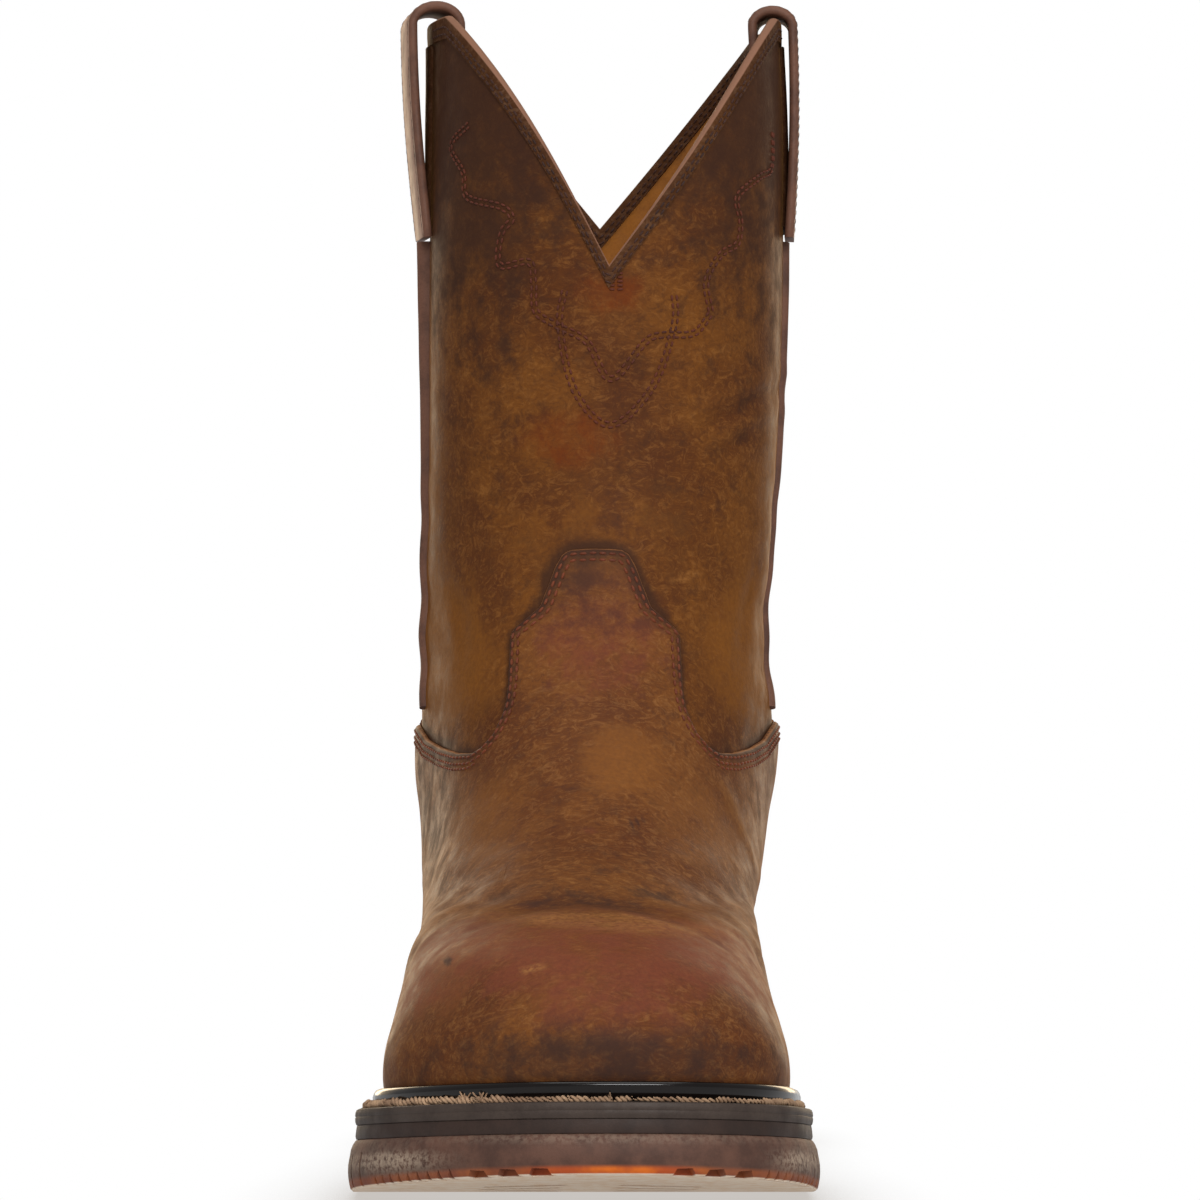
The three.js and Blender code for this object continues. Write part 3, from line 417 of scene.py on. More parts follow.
    def find(self, view: View, marks: Sequence[Point], out: float = 0) -> tuple[Array, Array]:
        """Finds drawn points on the boot's face.

        Args:
            view: The side that the points are drawn from.
            marks: Picture points for the front, or (y, z) or (x, z) in mm for the other views.
            out: How far out of the leather the face is.

        Returns:
            Their ways round and levels.
        """
        marks = np.array(marks, float)
        if view not in self.seen:
            ways, levels = np.linspace(0, 1, 241)[:-1], np.linspace(0, TOP, 260)
            around, level = np.meshgrid(ways, levels, indexing="ij")
            facing = facing_of(view, self.normal(around, level)) > 0.03
            around, level = around[facing], level[facing]
            self.seen[view] = (around, level, drawn(view, self.point(around, level)))
        around, level, places = self.seen[view]
        near = np.array([np.argmin(np.sum((places - m) ** 2, -1)) for m in marks])
        a, n = around[near], level[near]
        for _ in range(6):
            here = drawn(view, self.face(a, n, out, bare=True))
            by_a = (drawn(view, self.face(a + 1e-3, n, out, bare=True)) - here) / 1e-3
            by_n = (drawn(view, self.face(a, n - 1e-2, out, bare=True)) - here) / -1e-2
            slopes = np.stack([by_a, by_n], -1)
            square = slopes.transpose(0, 2, 1) @ slopes + np.diag([400.0, 0.5])
            pull = np.einsum("nij,ni->nj", slopes, marks - here)
            step = np.linalg.solve(square, pull[..., None])[..., 0]
            a = a + np.clip(step[:, 0], -0.02, 0.02)
            n = np.clip(n + np.clip(step[:, 1], -0.6, 0.6), 0, TOP)
        return a, n


def drawn(view: View, points: Array) -> Array:
    """Where points fall in a view: pixels for the front, mm for the other views."""
    if view is View.FRONT:
        return LENS.pixels(points)
    return points[..., [0, 2]] if view is View.BACK else points[..., [1, 2]]


def facing_of(view: View, normals: Array) -> Array:
    """How squarely faces look at a view, up to 1."""
    axis, sign = {
        View.FRONT: (1, -1),
        View.LATERAL: (0, -1),
        View.MEDIAL: (0, 1),
        View.BACK: (1, 1),
    }[view]
    return normals[..., axis] * sign


@dataclass(frozen=True)
class Crease:
    """A fold in the leather: a soft trough with a ridge on each side.

    Attributes:
        marks: Points along it, in its view.
        depth: How deep the trough is, in mm; below 0 it is a ridge.
        width: Its half width in mm.
        shoulder: How high its edges stand, as a share of the depth.
        view: The side it is drawn from.
    """

    marks: tuple[Point, ...]
    depth: float
    width: float
    shoulder: float = 0.35
    view: View = View.FRONT


@dataclass(frozen=True)
class Patch:
    """A soft spot of wear, colour, painted shade or painted highlight.

    Attributes:
        paint: The name of the paint grid that it goes to.
        at: Its middle, in its view.
        radii: Its half sizes across and up.
        strength: How strong it is in the middle.
        turn: How far it is turned, in degrees.
        view: The side it is drawn from.
    """

    paint: str
    at: Point
    radii: Point
    strength: float = 1
    turn: float = 0
    view: View = View.FRONT


def smooth_line(points: Array, count: int) -> Array:
    """A smooth line through points, evenly divided.

    Args:
        points: The points, one row each.
        count: How many points the line gets.

    Returns:
        The points of the line.
    """
    points = np.asarray(points, float)
    padded = np.vstack([2 * points[0] - points[1], points, 2 * points[-1] - points[-2]])
    fine = []
    for i in range(len(points) - 1):
        fine += [curve_at(*padded[i : i + 4], t) for t in np.linspace(0, 1, 12, endpoint=False)]
    return spread(np.array([*fine, points[-1]]), count)


def walk(points: Array) -> Array:
    """How far along a line each of its points is."""
    steps = np.linalg.norm(np.diff(points, axis=0), axis=1)
    return np.concatenate([[0], np.cumsum(steps)])


def far_from(line: Array, points: Array) -> Array:
    """How far each point is from the nearest point of a line."""
    tree = KDTree(len(line))
    for number, place in enumerate(line):
        tree.insert(place, number)
    tree.balance()
    return np.array([tree.find(place)[2] for place in points])


def spread(points: Array, count: int) -> Array:
    """The same line with its points evenly spaced."""
    walked = walk(points)
    at = np.linspace(0, walked[-1], count)
    return np.stack([np.interp(at, walked, points[:, k]) for k in range(points.shape[1])], -1)


# Soft waves over all the leather: their size and their height.
RIPPLES = ((46, 0.16), (17, 0.03))
# How far the painted shade beside an overlay's edge reaches, and how dark it is.
SEAM_SHADE = (2.5, 0.85)


class Wear:
    """Fills a form's grids with creases and patches."""

    def __init__(self, form: Form) -> None:
        """Prepares the grid of points of the form that it fills."""
        self.form = form
        self.around, self.level = form.grid()
        self.points = form.point(self.around, self.level)
        self.normals = form.normal(self.around, self.level)
        self.random = np.random.default_rng(SEED)

    def near(self, line: Array, reach: float) -> Array:
        """Which points of the grid lie in the box of a line, widened by a reach in mm."""
        inside = (self.points > line.min(0) - reach) & (self.points < line.max(0) + reach)
        return np.all(inside, axis=-1)

    def ripple(self, size: float, count: int = 7) -> Array:
        """Soft irregular waves of about a size in mm, from -1 to 1."""
        total = np.zeros(self.around.shape)
        for _ in range(count):
            way = self.random.normal(size=3)
            way *= 2 * np.pi / size / np.linalg.norm(way) * self.random.uniform(0.7, 1.4)
            total += np.sin(self.points @ way + self.random.uniform(0, 2 * np.pi))
        return total / math.sqrt(count / 2) / 2

    def fold(self, crease: Crease) -> tuple[Array, Array]:
        """The height of one crease over the grid, and how near its middle each point is.

        Args:
            crease: The crease.

        Returns:
            Its relief in mm and its middle's share from 0 to 1.
        """
        marks = smooth_line(np.array(crease.marks), 5 * len(crease.marks))
        line = self.form.face(*self.form.find(crease.view, marks), bare=True)
        reach = crease.width * 4
        near = self.near(line, reach)
        p = self.points[near]
        best, share = np.full(len(p), 1e9), np.zeros(len(p))
        for i in range(len(line) - 1):
            step = line[i + 1] - line[i]
            t = np.clip((p - line[i]) @ step / max(step @ step, 1e-9), 0, 1)
            far = np.linalg.norm(p - line[i] - t[:, None] * step, axis=1)
            share = np.where(far < best, (i + t) / (len(line) - 1), share)
            best = np.minimum(best, far)
        fade = np.sqrt(np.clip(np.sin(np.pi * np.clip(share, 0.02, 0.98)), 0, 1))
        middle = bell(best / crease.width) * fade
        edge = bell((best - 2 * crease.width) / crease.width) * fade
        relief, centre = np.zeros(near.shape), np.zeros(near.shape)
        relief[near] = crease.depth * (crease.shoulder * edge - middle)
        centre[near] = middle
        return relief, centre

    def spot(self, patch: Patch) -> Array:
        """How strong one patch is over the grid."""
        places = drawn(patch.view, self.points) - np.array(patch.at)
        turn = math.radians(patch.turn)
        across = places[..., 0] * math.cos(turn) + places[..., 1] * math.sin(turn)
        up = places[..., 1] * math.cos(turn) - places[..., 0] * math.sin(turn)
        far = np.hypot(across / patch.radii[0], up / patch.radii[1])
        seen = smooth(facing_of(patch.view, self.normals) * 3 + 0.4)
        return patch.strength * smooth(1.4 - far) * seen

    def fill(self, creases: Sequence[Crease], patches: Sequence[Patch]) -> None:
        """Writes the relief and every paint grid, with painted shade in the creases' troughs and painted
        highlights on their ridges and shoulders.

        Args:
            creases: The creases.
            patches: The patches.
        """
        foot = self.level < ANKLE
        relief = sum(height * self.ripple(size) for size, height in RIPPLES)
        stiff = smooth((self.points[..., 2] - GROUND.welt_top(self.points[..., 1])) / 14)
        relief = relief * np.where(foot, stiff, 1)
        paint = {name: np.zeros(foot.shape) for name in ("dark", "olive", "rust", "worn")}
        for crease in creases:
            height, middle = self.fold(crease)
            relief += height
            # Painted shade along each trough goes into dark; painted highlight along each ridge and on
            # raised shoulders goes into worn, mixed with real rubbing on high spots.
            paint["dark" if crease.depth > 0 else "worn"] += 0.55 * middle * min(1, abs(crease.depth))
            paint["worn"] += 0.3 * np.maximum(0, height)
        for patch in patches:
            paint[patch.paint] += self.spot(patch)
        self.form.relief = relief
        self.form.paint = {name: np.clip(grid, 0, 1) for name, grid in paint.items()}

    def shade(self, line: Array, width: float, strength: float) -> None:
        """Paints shade on the leather on both sides of an overlay's edge: the shadow of the raised edge,
        with a darker pressed margin.

        Args:
            line: Points along the edge, in mm.
            width: How far the dark reaches.
            strength: How dark it is at the edge.
        """
        near = self.near(line, 3 * width)
        far = far_from(line, self.points[near])
        dark = self.form.paint["dark"]
        dark[near] = np.clip(dark[near] + strength * bell(far / width), 0, 1)


# The toe box, the vamp and the shaft, in picture points from the front.
CREASES = (
    Crease(
        ((424, 952), (470, 936), (530, 917), (574, 905), (620, 911), (672, 928), (730, 955), (786, 985)),
        0.6, 5.5, 0.6,
    ),
    Crease(((436, 900), (470, 880), (520, 874), (560, 880)), 0.25, 3.4, 0.4),
    Crease(((492, 889), (512, 879), (537, 867)), 0.3, 1.4),
    Crease(((452, 838), (480, 846), (520, 852), (566, 846)), 0.18, 3.4, 0.5),
    Crease(((640, 852), (676, 842), (712, 830), (744, 812)), 0.2, 3.4, 0.5),
    Crease(((640, 886), (684, 884), (722, 892), (752, 905)), 0.3, 3.6, 0.5),
    Crease(((600, 800), (640, 794), (680, 792)), 0.12, 2),
    Crease(((480, 790), (500, 800), (540, 806)), 0.12, 2),
    # These three ridges carry painted highlights: light streaks down the vamp's sides and along the toe's
    # crest.
    Crease(((706, 775), (722, 800), (740, 845), (755, 885)), -0.5, 3, 0),
    Crease(((470, 962), (520, 936), (574, 924), (640, 926), (700, 944), (776, 996)), -0.3, 2.2, 0),
    Crease(((446, 775), (436, 810), (432, 850), (428, 890)), -0.3, 3.2, 0),
    Crease(((700, 430), (730, 412), (760, 396), (784, 386)), 0.8, 2.2, 0.6),
    Crease(((722, 452), (748, 436), (776, 425)), 0.45, 1.8, 0.6),
    Crease(((480, 496), (492, 500), (505, 506)), 0.4, 1.2),
    Crease(((440, 570), (456, 596), (464, 625), (466, 660)), 0.35, 3.4, 0.5),
    Crease(((758, 560), (748, 596), (742, 630), (740, 664)), 0.35, 3.4, 0.5),
    Crease(((430, 460), (470, 470), (520, 466)), 0.3, 3),
    Crease(((-48, 152), (-28, 150), (-4, 158)), 0.40, 4.5, 0.5, View.LATERAL),
    Crease(((-60, 138), (-34, 132), (-8, 134)), 0.32, 4, 0.5, View.LATERAL),
    Crease(((-52, 176), (-24, 172), (4, 178)), 0.20, 4, 0.5, View.LATERAL),
    Crease(((-50, 150), (-30, 148), (-4, 156)), 0.40, 4.5, 0.5, View.MEDIAL),
    Crease(((-62, 136), (-34, 131), (-8, 134)), 0.32, 4, 0.5, View.MEDIAL),
    Crease(((-50, 178), (-24, 176), (6, 182)), 0.20, 4, 0.5, View.MEDIAL),
    Crease(((-172, 44), (-166, 62), (-160, 78)), 0.44, 4, 0.6, View.LATERAL),
    Crease(((-150, 46), (-146, 64), (-142, 82)), 0.32, 4, 0.6, View.LATERAL),
    Crease(((-176, 46), (-168, 62), (-162, 78)), 0.44, 4, 0.6, View.MEDIAL),
    Crease(((-152, 46), (-148, 66), (-144, 84)), 0.32, 4, 0.6, View.MEDIAL),
    Crease(((-40, 150), (-14, 144), (14, 146), (40, 152)), 0.36, 4.5, 0.5, View.BACK),
    Crease(((-34, 130), (0, 126), (34, 131)), 0.24, 4, 0.5, View.BACK),
)
SIDES = (View.LATERAL, View.MEDIAL)
PATCHES = (
    Patch("dark", (600, 110), (280, 150), 0.5),
    Patch("dark", (480, 290), (70, 90), 0.5),
    Patch("dark", (740, 300), (50, 90), 0.4),
    Patch("dark", (560, 560), (60, 40), 0.35),
    Patch("dark", (520, 400), (50, 60), 0.3),
    Patch("dark", (680, 520), (50, 50), 0.3),
    # Painted sheen: a greyer, darker band along the toe's foot.
    Patch("dark", (615, 1058), (170, 28), 0.38),
    # Painted shade in the valley just above the toe's crest.
    Patch("dark", (600, 905), (130, 14), 0.3),
    Patch("dark", (600, 612), (70, 40), 0.4),
    # Painted shade on the vamp's left flank.
    Patch("dark", (430, 860), (26, 60), 0.35),
    Patch("dark", (600, 1030), (60, 20), 0.3),
    Patch("rust", (570, 440), (55, 34), 0.7),
    Patch("rust", (612, 292), (40, 26), 0.7),
    Patch("rust", (600, 640), (76, 72), 0.55),
    Patch("rust", (604, 990), (110, 56), 0.6),
    # Painted sheen along the toe's foot.
    Patch("dark", (600, 1062), (230, 22), 0.35),
    Patch("olive", (600, 540), (120, 60), 0.5),
    Patch("olive", (450, 650), (46, 80), 0.9),
    Patch("olive", (750, 650), (46, 80), 0.9),
    Patch("olive", (620, 765), (44, 42), 0.8),
    Patch("olive", (500, 830), (60, 60), 0.5),
    Patch("olive", (700, 830), (60, 60), 0.45),
    Patch("olive", (440, 990), (50, 50), 0.4),
    # Painted shade on the vamp's flanks.
    Patch("dark", (430, 790), (34, 70), 0.5),
    Patch("dark", (770, 800), (30, 70), 0.35),
    # Painted highlight along the toe's crest.
    Patch("worn", (600, 930), (130, 8), 0.5, 4),
    Patch("worn", (535, 974), (14, 3), 0.9, -20),
    Patch("worn", (686, 577), (15, 3), 0.9, -16),
    Patch("rust", (582, 841), (18, 3), 0.8, -6),
    Patch("dark", (633, 828), (11, 5), 0.9, -10),
    Patch("dark", (452, 966), (5, 5), 0.9),
    # Painted shadow in the gap beside the right strap.
    Patch("dark", (779, 105), (9, 46), 0.9),
    Patch("dark", (0, 296), (70, 44), 0.6, 0, View.BACK),
    Patch("olive", (0, 190), (40, 40), 0.6, 0, View.BACK),
    Patch("rust", (0, 80), (30, 30), 0.6, 0, View.BACK),
    *(Patch("olive", (-10, 170), (40, 46), 0.7, 0, side) for side in SIDES),
    *(Patch("dark", (-10, 292), (80, 56), 0.55, 0, side) for side in SIDES),
    *(Patch("rust", (-200, 60), (36, 16), 0.6, 0, side) for side in SIDES),
    *(Patch("worn", (20, 60), (26, 16), 0.35, 0, side) for side in SIDES),
)


class Shop:
    """Makes welded pieces from grids of points and puts them on the frame."""

    @staticmethod
    def points(mesh: bpy.types.Mesh) -> Array:
        """The places of a mesh's points, in metres."""
        place = np.zeros(len(mesh.vertices) * 3, np.float32)
        mesh.vertices.foreach_get("co", place)
        return place.reshape(-1, 3)

    @staticmethod
    def store(mesh: bpy.types.Mesh, name: str, values: Array) -> None:
        """Stores a value for each point, for the materials to read."""
        layer = mesh.attributes.new(name, "FLOAT", "POINT")
        layer.data.foreach_set("value", values.astype(np.float32))

    @staticmethod
    def pick(pieces: Sequence[Object]) -> None:
        """Selects only these pieces and makes the first the active one."""
        bpy.ops.object.select_all(action="DESELECT")
        for piece in pieces:
            piece.select_set(True)
        bpy.context.view_layer.objects.active = pieces[0]

    @staticmethod
    def sheet(name: str, points: Array, material: Material, **attributes: Array) -> Object:
        """A grid of points as a mesh.

        Args:
            name: The object's name.
            points: The points in mm, by row and column.
            material: Its material.
            attributes: Values by name, one for each point.

        Returns:
            The object, with its points in metres.
        """
        rows, columns = points.shape[:2]
        bpy.ops.object.select_all(action="DESELECT")
        bpy.ops.mesh.primitive_grid_add(x_subdivisions=columns - 1, y_subdivisions=rows - 1, size=2)
        piece = bpy.context.object
        piece.name = name
        mesh = piece.data
        place = Shop.points(mesh)
        column = np.rint((place[:, 0] + 1) / 2 * (columns - 1)).astype(int)
        row = np.rint((place[:, 1] + 1) / 2 * (rows - 1)).astype(int)
        mesh.vertices.foreach_set("co", (points[row, column] * MM).astype(np.float32).ravel())
        for key, values in attributes.items():
            Shop.store(mesh, key, np.broadcast_to(values, (rows, columns))[row, column])
        mesh.materials.append(material)
        mesh.update()
        return piece

    @staticmethod
    def weld(name: str, parts: Sequence[Object], angle: float = 40) -> Object:
        """Joins sheets into one closed piece.

        Args:
            name: The piece's name.
            parts: The sheets, which meet at their edges.
            angle: The angle above which edges stay crisp, in degrees.

        Returns:
            The piece.
        """
        Shop.pick(parts)
        if len(parts) > 1:
            bpy.ops.object.join()
        piece = bpy.context.object
        piece.name = name
        piece.data.name = name
        bpy.ops.object.mode_set(mode="EDIT")
        bpy.ops.mesh.select_all(action="SELECT")
        bpy.ops.mesh.remove_doubles(threshold=0.004 * MM)
        bpy.ops.mesh.dissolve_degenerate(threshold=0.002 * MM)
        bpy.ops.mesh.normals_make_consistent(inside=False)
        bpy.ops.object.mode_set(mode="OBJECT")
        bpy.ops.object.shade_smooth_by_angle(angle=math.radians(angle))
        return piece

    @staticmethod
    def cut(piece: Object, cutters: Sequence[Object], keep: bool = False) -> None:
        """Cuts other objects out of a piece, or keeps only what is in them.

        Args:
            piece: The piece.
            cutters: The objects, which are used up.
            keep: Whether the inside is kept.
        """
        Shop.pick(cutters)
        if len(cutters) > 1:
            bpy.ops.object.join()
        tool = bpy.context.object
        Shop.pick([piece])
        modifier = piece.modifiers.new("cut", "BOOLEAN")
        modifier.operation = "INTERSECT" if keep else "DIFFERENCE"
        modifier.solver = "EXACT"
        modifier.use_self = len(cutters) > 1
        modifier.object = tool
        bpy.ops.object.modifier_apply(modifier=modifier.name)
        bpy.data.objects.remove(tool, do_unlink=True)

    @staticmethod
    def place(piece: Object, slot: str, *nodes: str) -> Object:
        """Puts a finished piece on the frame and reports it.

        Args:
            piece: The piece.
            slot: The name of a material slot; not used.
            nodes: The CAD nodes that it stands for.

        Returns:
            The piece.
        """
        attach(piece, "root")
        if nodes:
            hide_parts(*nodes)
        triangles = sum(len(p.vertices) - 2 for p in piece.data.polygons)
        log.info("%s: %d triangles, for %s", piece.name, triangles, ", ".join(nodes) or "no CAD node")
        return piece


# Distances from a cut edge, in mm, at which its rolled shape gets points.
EDGE_STEPS = (0, 0.12, 0.3, 0.55, 0.85, 1.2, 1.8)


def paint_of(form: Form, around: Array, level: Array) -> dict[str, Array]:
    """What each paint grid holds at the points of a sheet."""
    return {name: form.sample(grid, around, level) for name, grid in form.paint.items()}


@dataclass
class Upper:
    """The shaft and the foot's lining: one wall, open at the collar and underneath.

    Attributes:
        form: The form that it follows.
        columns: Points round it.
        foot_rows: Rows under the vamp and the counter.
        shaft_rows: Rows up the shaft.
        facing_rows: Rows of the facing inside the collar.
        COVERED: The level up to which the overlays cover it.
    """

    COVERED: ClassVar[int] = 12
    form: Form
    columns: int = 264
    foot_rows: int = 34
    shaft_rows: int = 104
    facing_rows: int = 9

    def grid(self, out: Array | float, span: tuple[int, int]) -> tuple[Array, Array, Array]:
        """A skin of the wall.

        Args:
            out: How far out of the face it is.
            span: Its first row and the one after its last.

        Returns:
            The points, ways round and levels, by row and column.
        """
        around = np.linspace(0, 1, self.columns + 1)
        collar = self.form.collar(around)
        foot = np.linspace(0, 1, self.foot_rows, endpoint=False)[:, None] * self.COVERED + 0 * around
        shaft = self.COVERED + np.linspace(0, 1, self.shaft_rows)[:, None] * (collar - self.COVERED)
        level = np.vstack([foot, shaft])[span[0] : span[1]]
        around = np.broadcast_to(around, level.shape)
        points = self.form.face(around, level, out)
        if span[0] == 0:
            points[0, :, 2] = GROUND.welt_top(points[0, :, 1]) + GAP
        return points, around, level

    def make(self, palette: "Palette") -> None:
        """Builds the piece and places it. The wall is skived thin towards the collar."""
        total = self.foot_rows + self.shaft_rows
        points, around, level = self.grid(0, (0, total))
        outer = Shop.sheet("outer", points, palette.shaft, **paint_of(self.form, around, level))
        edge = total - self.facing_rows
        skived = smooth((np.arange(total)[:, None] - (edge - 6)) / 8)
        depth = -WALL + (WALL - EDGE_WALL) * skived
        lined, _, _ = self.grid(depth[: edge + 1], (0, edge + 1))
        faced, _, _ = self.grid(depth[edge:], (edge, total))
        lining = Shop.sheet("lining", lined, palette.lining)
        facing = Shop.sheet("facing", faced, palette.facing)
        ends = ((0, lined), (-1, faced))
        rims = [Shop.sheet("rim", np.stack([points[r], skin[r]]), palette.facing) for r, skin in ends]
        Shop.place(Shop.weld("shaft_leather", [outer, lining, facing, *rims]), "shaft_leather", "upper")


@dataclass
class Overlay:
    """Leather cut to a line and laid over the form, with a rolled edge.

    Attributes:
        form: The form that it lies on.
        name: The piece's name.
        node: The CAD node that it stands for.
        span: The ways round of its two side seams at the top, in order.
        height: Its top line's height over a point.
        seam: How far back of the side seams its ends stand, in mm.
        columns: Points along its top line.
        rows: Points from its top line down.
        FACE: How far its outer face stands out of the form.
        ROLL: How far from a cut edge its rolled shape starts.
    """

    FACE: ClassVar[float] = OVERLAY + GAP
    ROLL: ClassVar[float] = 1.1
    form: Form
    name: str
    node: str
    span: tuple[float, float]
    height: Rise
    seam: float
    columns: int
    rows: int

    def ends(self, level: Array, start: float) -> Array:
        """The ways round of a side seam at given levels.

        Args:
            level: The levels.
            start: A way round near the seam.

        Returns:
            The ways round.
        """
        around = np.full(level.shape, start)
        for _ in range(8):
            here = self.form.face(around, level, self.FACE, bare=True)
            ahead = self.form.face(around + 1e-3, level, self.FACE, bare=True)
            slope = (ahead[..., 1] - here[..., 1]) / 1e-3
            step = (seam_y(here[..., 2]) + self.seam - here[..., 1]) / slope
            around = around + np.clip(step, -0.05, 0.05)
        return around

    def over(self, p: Array, around: Array, level: Array) -> Array:
        """Its top line's height over points, in the form that Form.level_at asks for."""
        return self.height(p)

    def top(self) -> tuple[Array, Array]:
        """The ways round and levels of its top line, evenly spaced."""
        a, b = self.span
        for _ in range(3):
            levels = self.form.level_at(np.array([a, b]), self.over, 0, self.FACE)
            a, b = (float(self.ends(levels[i : i + 1], s)[0]) for i, s in enumerate((a, b)))
        around = np.linspace(a, b, 1600)
        level = self.form.level_at(around % 1, self.over, 0, self.FACE)
        points = self.form.face(around, level, self.FACE, bare=True)
        walked = walk(points)
        body = np.linspace(EDGE_STEPS[-1], walked[-1] - EDGE_STEPS[-1], self.columns)
        at = np.concatenate([EDGE_STEPS[:-1], body])
        at = np.concatenate([at, walked[-1] - np.array(EDGE_STEPS[-2::-1])])
        return np.interp(at, walked, around), np.interp(at, walked, level)

    def net(self) -> tuple[Array, Array]:
        """The ways round and levels of its grid, from the feather line up to the top line."""
        around, level = self.top()
        low, high = around[0], around[-1]
        body = np.linspace(0, 1, self.rows)[:, None]
        drop = self.form.point(around, level) - self.form.point(around, 0 * level)
        length = np.linalg.norm(drop, axis=-1)
        rolled = (1 - d / length for d in EDGE_STEPS[-2::-1])
        share = np.vstack([body * (1 - EDGE_STEPS[-1] / length), *rolled])
        count = np.linspace(0, 1, len(around))
        even = low + (high - low) * (0.35 * count + 0.65 * (around - low) / (high - low))
        levels = level * share
        ways = even + (around - even) * share
        for end, weight in ((0, 1 - count), (-1, count)):
            ways = ways + (self.ends(levels[:, end], ways[-1, end]) - ways[:, end])[:, None] * weight**6
        return ways, levels

    def make(self, material: Material, slot: str) -> None:
        """Builds the piece and places it."""
        ways, levels = self.net()
        skin = self.form.face(ways, levels, self.FACE, bare=True)
        borders = np.vstack([spread(line, 1500) for line in (skin[-1], skin[:, 0], skin[:, -1])])
        far = far_from(borders, skin.reshape(-1, 3)).reshape(skin.shape[:2])
        near = np.clip(far / self.ROLL, 0, 1)
        thick = OVERLAY * np.sqrt(1 - (1 - near) ** 2)
        outer = self.form.face(ways, levels, GAP + thick)
        inner = self.form.face(ways, levels, GAP)
        for points in (outer, inner):
            points[0, :, 2] = GROUND.welt_top(points[0, :, 1]) + GAP
        paint = paint_of(self.form, ways % 1, levels)
        paint["edge"] = bell(far / 0.5)
        parts = [
            Shop.sheet("outer", outer, material, **paint),
            Shop.sheet("inner", inner, material, **paint),
            *(Shop.sheet("rim", np.stack([outer[r], inner[r]]), material) for r in (0, -1)),
            *(Shop.sheet("rim", np.stack([outer[:, c], inner[:, c]]), material) for c in (0, -1)),
        ]
        Shop.place(Shop.weld(self.name, parts, 60), slot, self.node)


# The side seams: where their top is, how far they lean forward below it, and how high it is.
SEAM_Y = -14
SEAM_LEAN = 10
SEAM_TOP = 117
# The counter's top line at the back of the heel.
COUNTER_BACK = (45, 122)
# The vamp's top line: how far from its middle, as a share of half the vamp, and how high.
VAMP_HALF = 50
VAMP_LINE = (
    (0, 164), (0.14, 163.6), (0.18, 162.5), (0.22, 159), (0.3, 148.6), (0.44, 142.6), (0.462, 141),
    (0.472, 128), (0.482, 123.5), (0.5, 120), (0.543, 115.3), (0.608, 111.5), (0.662, 109.8),
    (0.744, 109.4), (0.852, 110.3), (0.934, 112), (0.983, 114.8), (1.02, SEAM_TOP),
)


def seam_y(z: Array) -> Array:
    """Where the side seams run, seen from the side."""
    return SEAM_Y - SEAM_LEAN * (1 - z / SEAM_TOP)


def vamp_height(p: Array) -> Array:
    """The height of the vamp's top line over a point: a tongue with shoulders, then a dip."""
    off, top = zip(*VAMP_LINE)
    return np.interp(np.abs(p[..., 0] - VAMP_MIDDLE) / VAMP_HALF, off, top)


def counter_height(p: Array) -> Array:
    """The height of the counter's top line over a point."""
    return np.interp(p[..., 1], (SEAM_Y, COUNTER_BACK[0]), (SEAM_TOP, COUNTER_BACK[1]))


def linear(colour: str) -> tuple[float, float, float, float]:
    """An sRGB hex colour as linear values with full alpha."""
    parts = [int(colour[i : i + 2], 16) / 255 for i in (1, 3, 5)]
    return (*(c / 12.92 if c <= 0.04045 else ((c + 0.055) / 1.055) ** 2.4 for c in parts), 1.0)


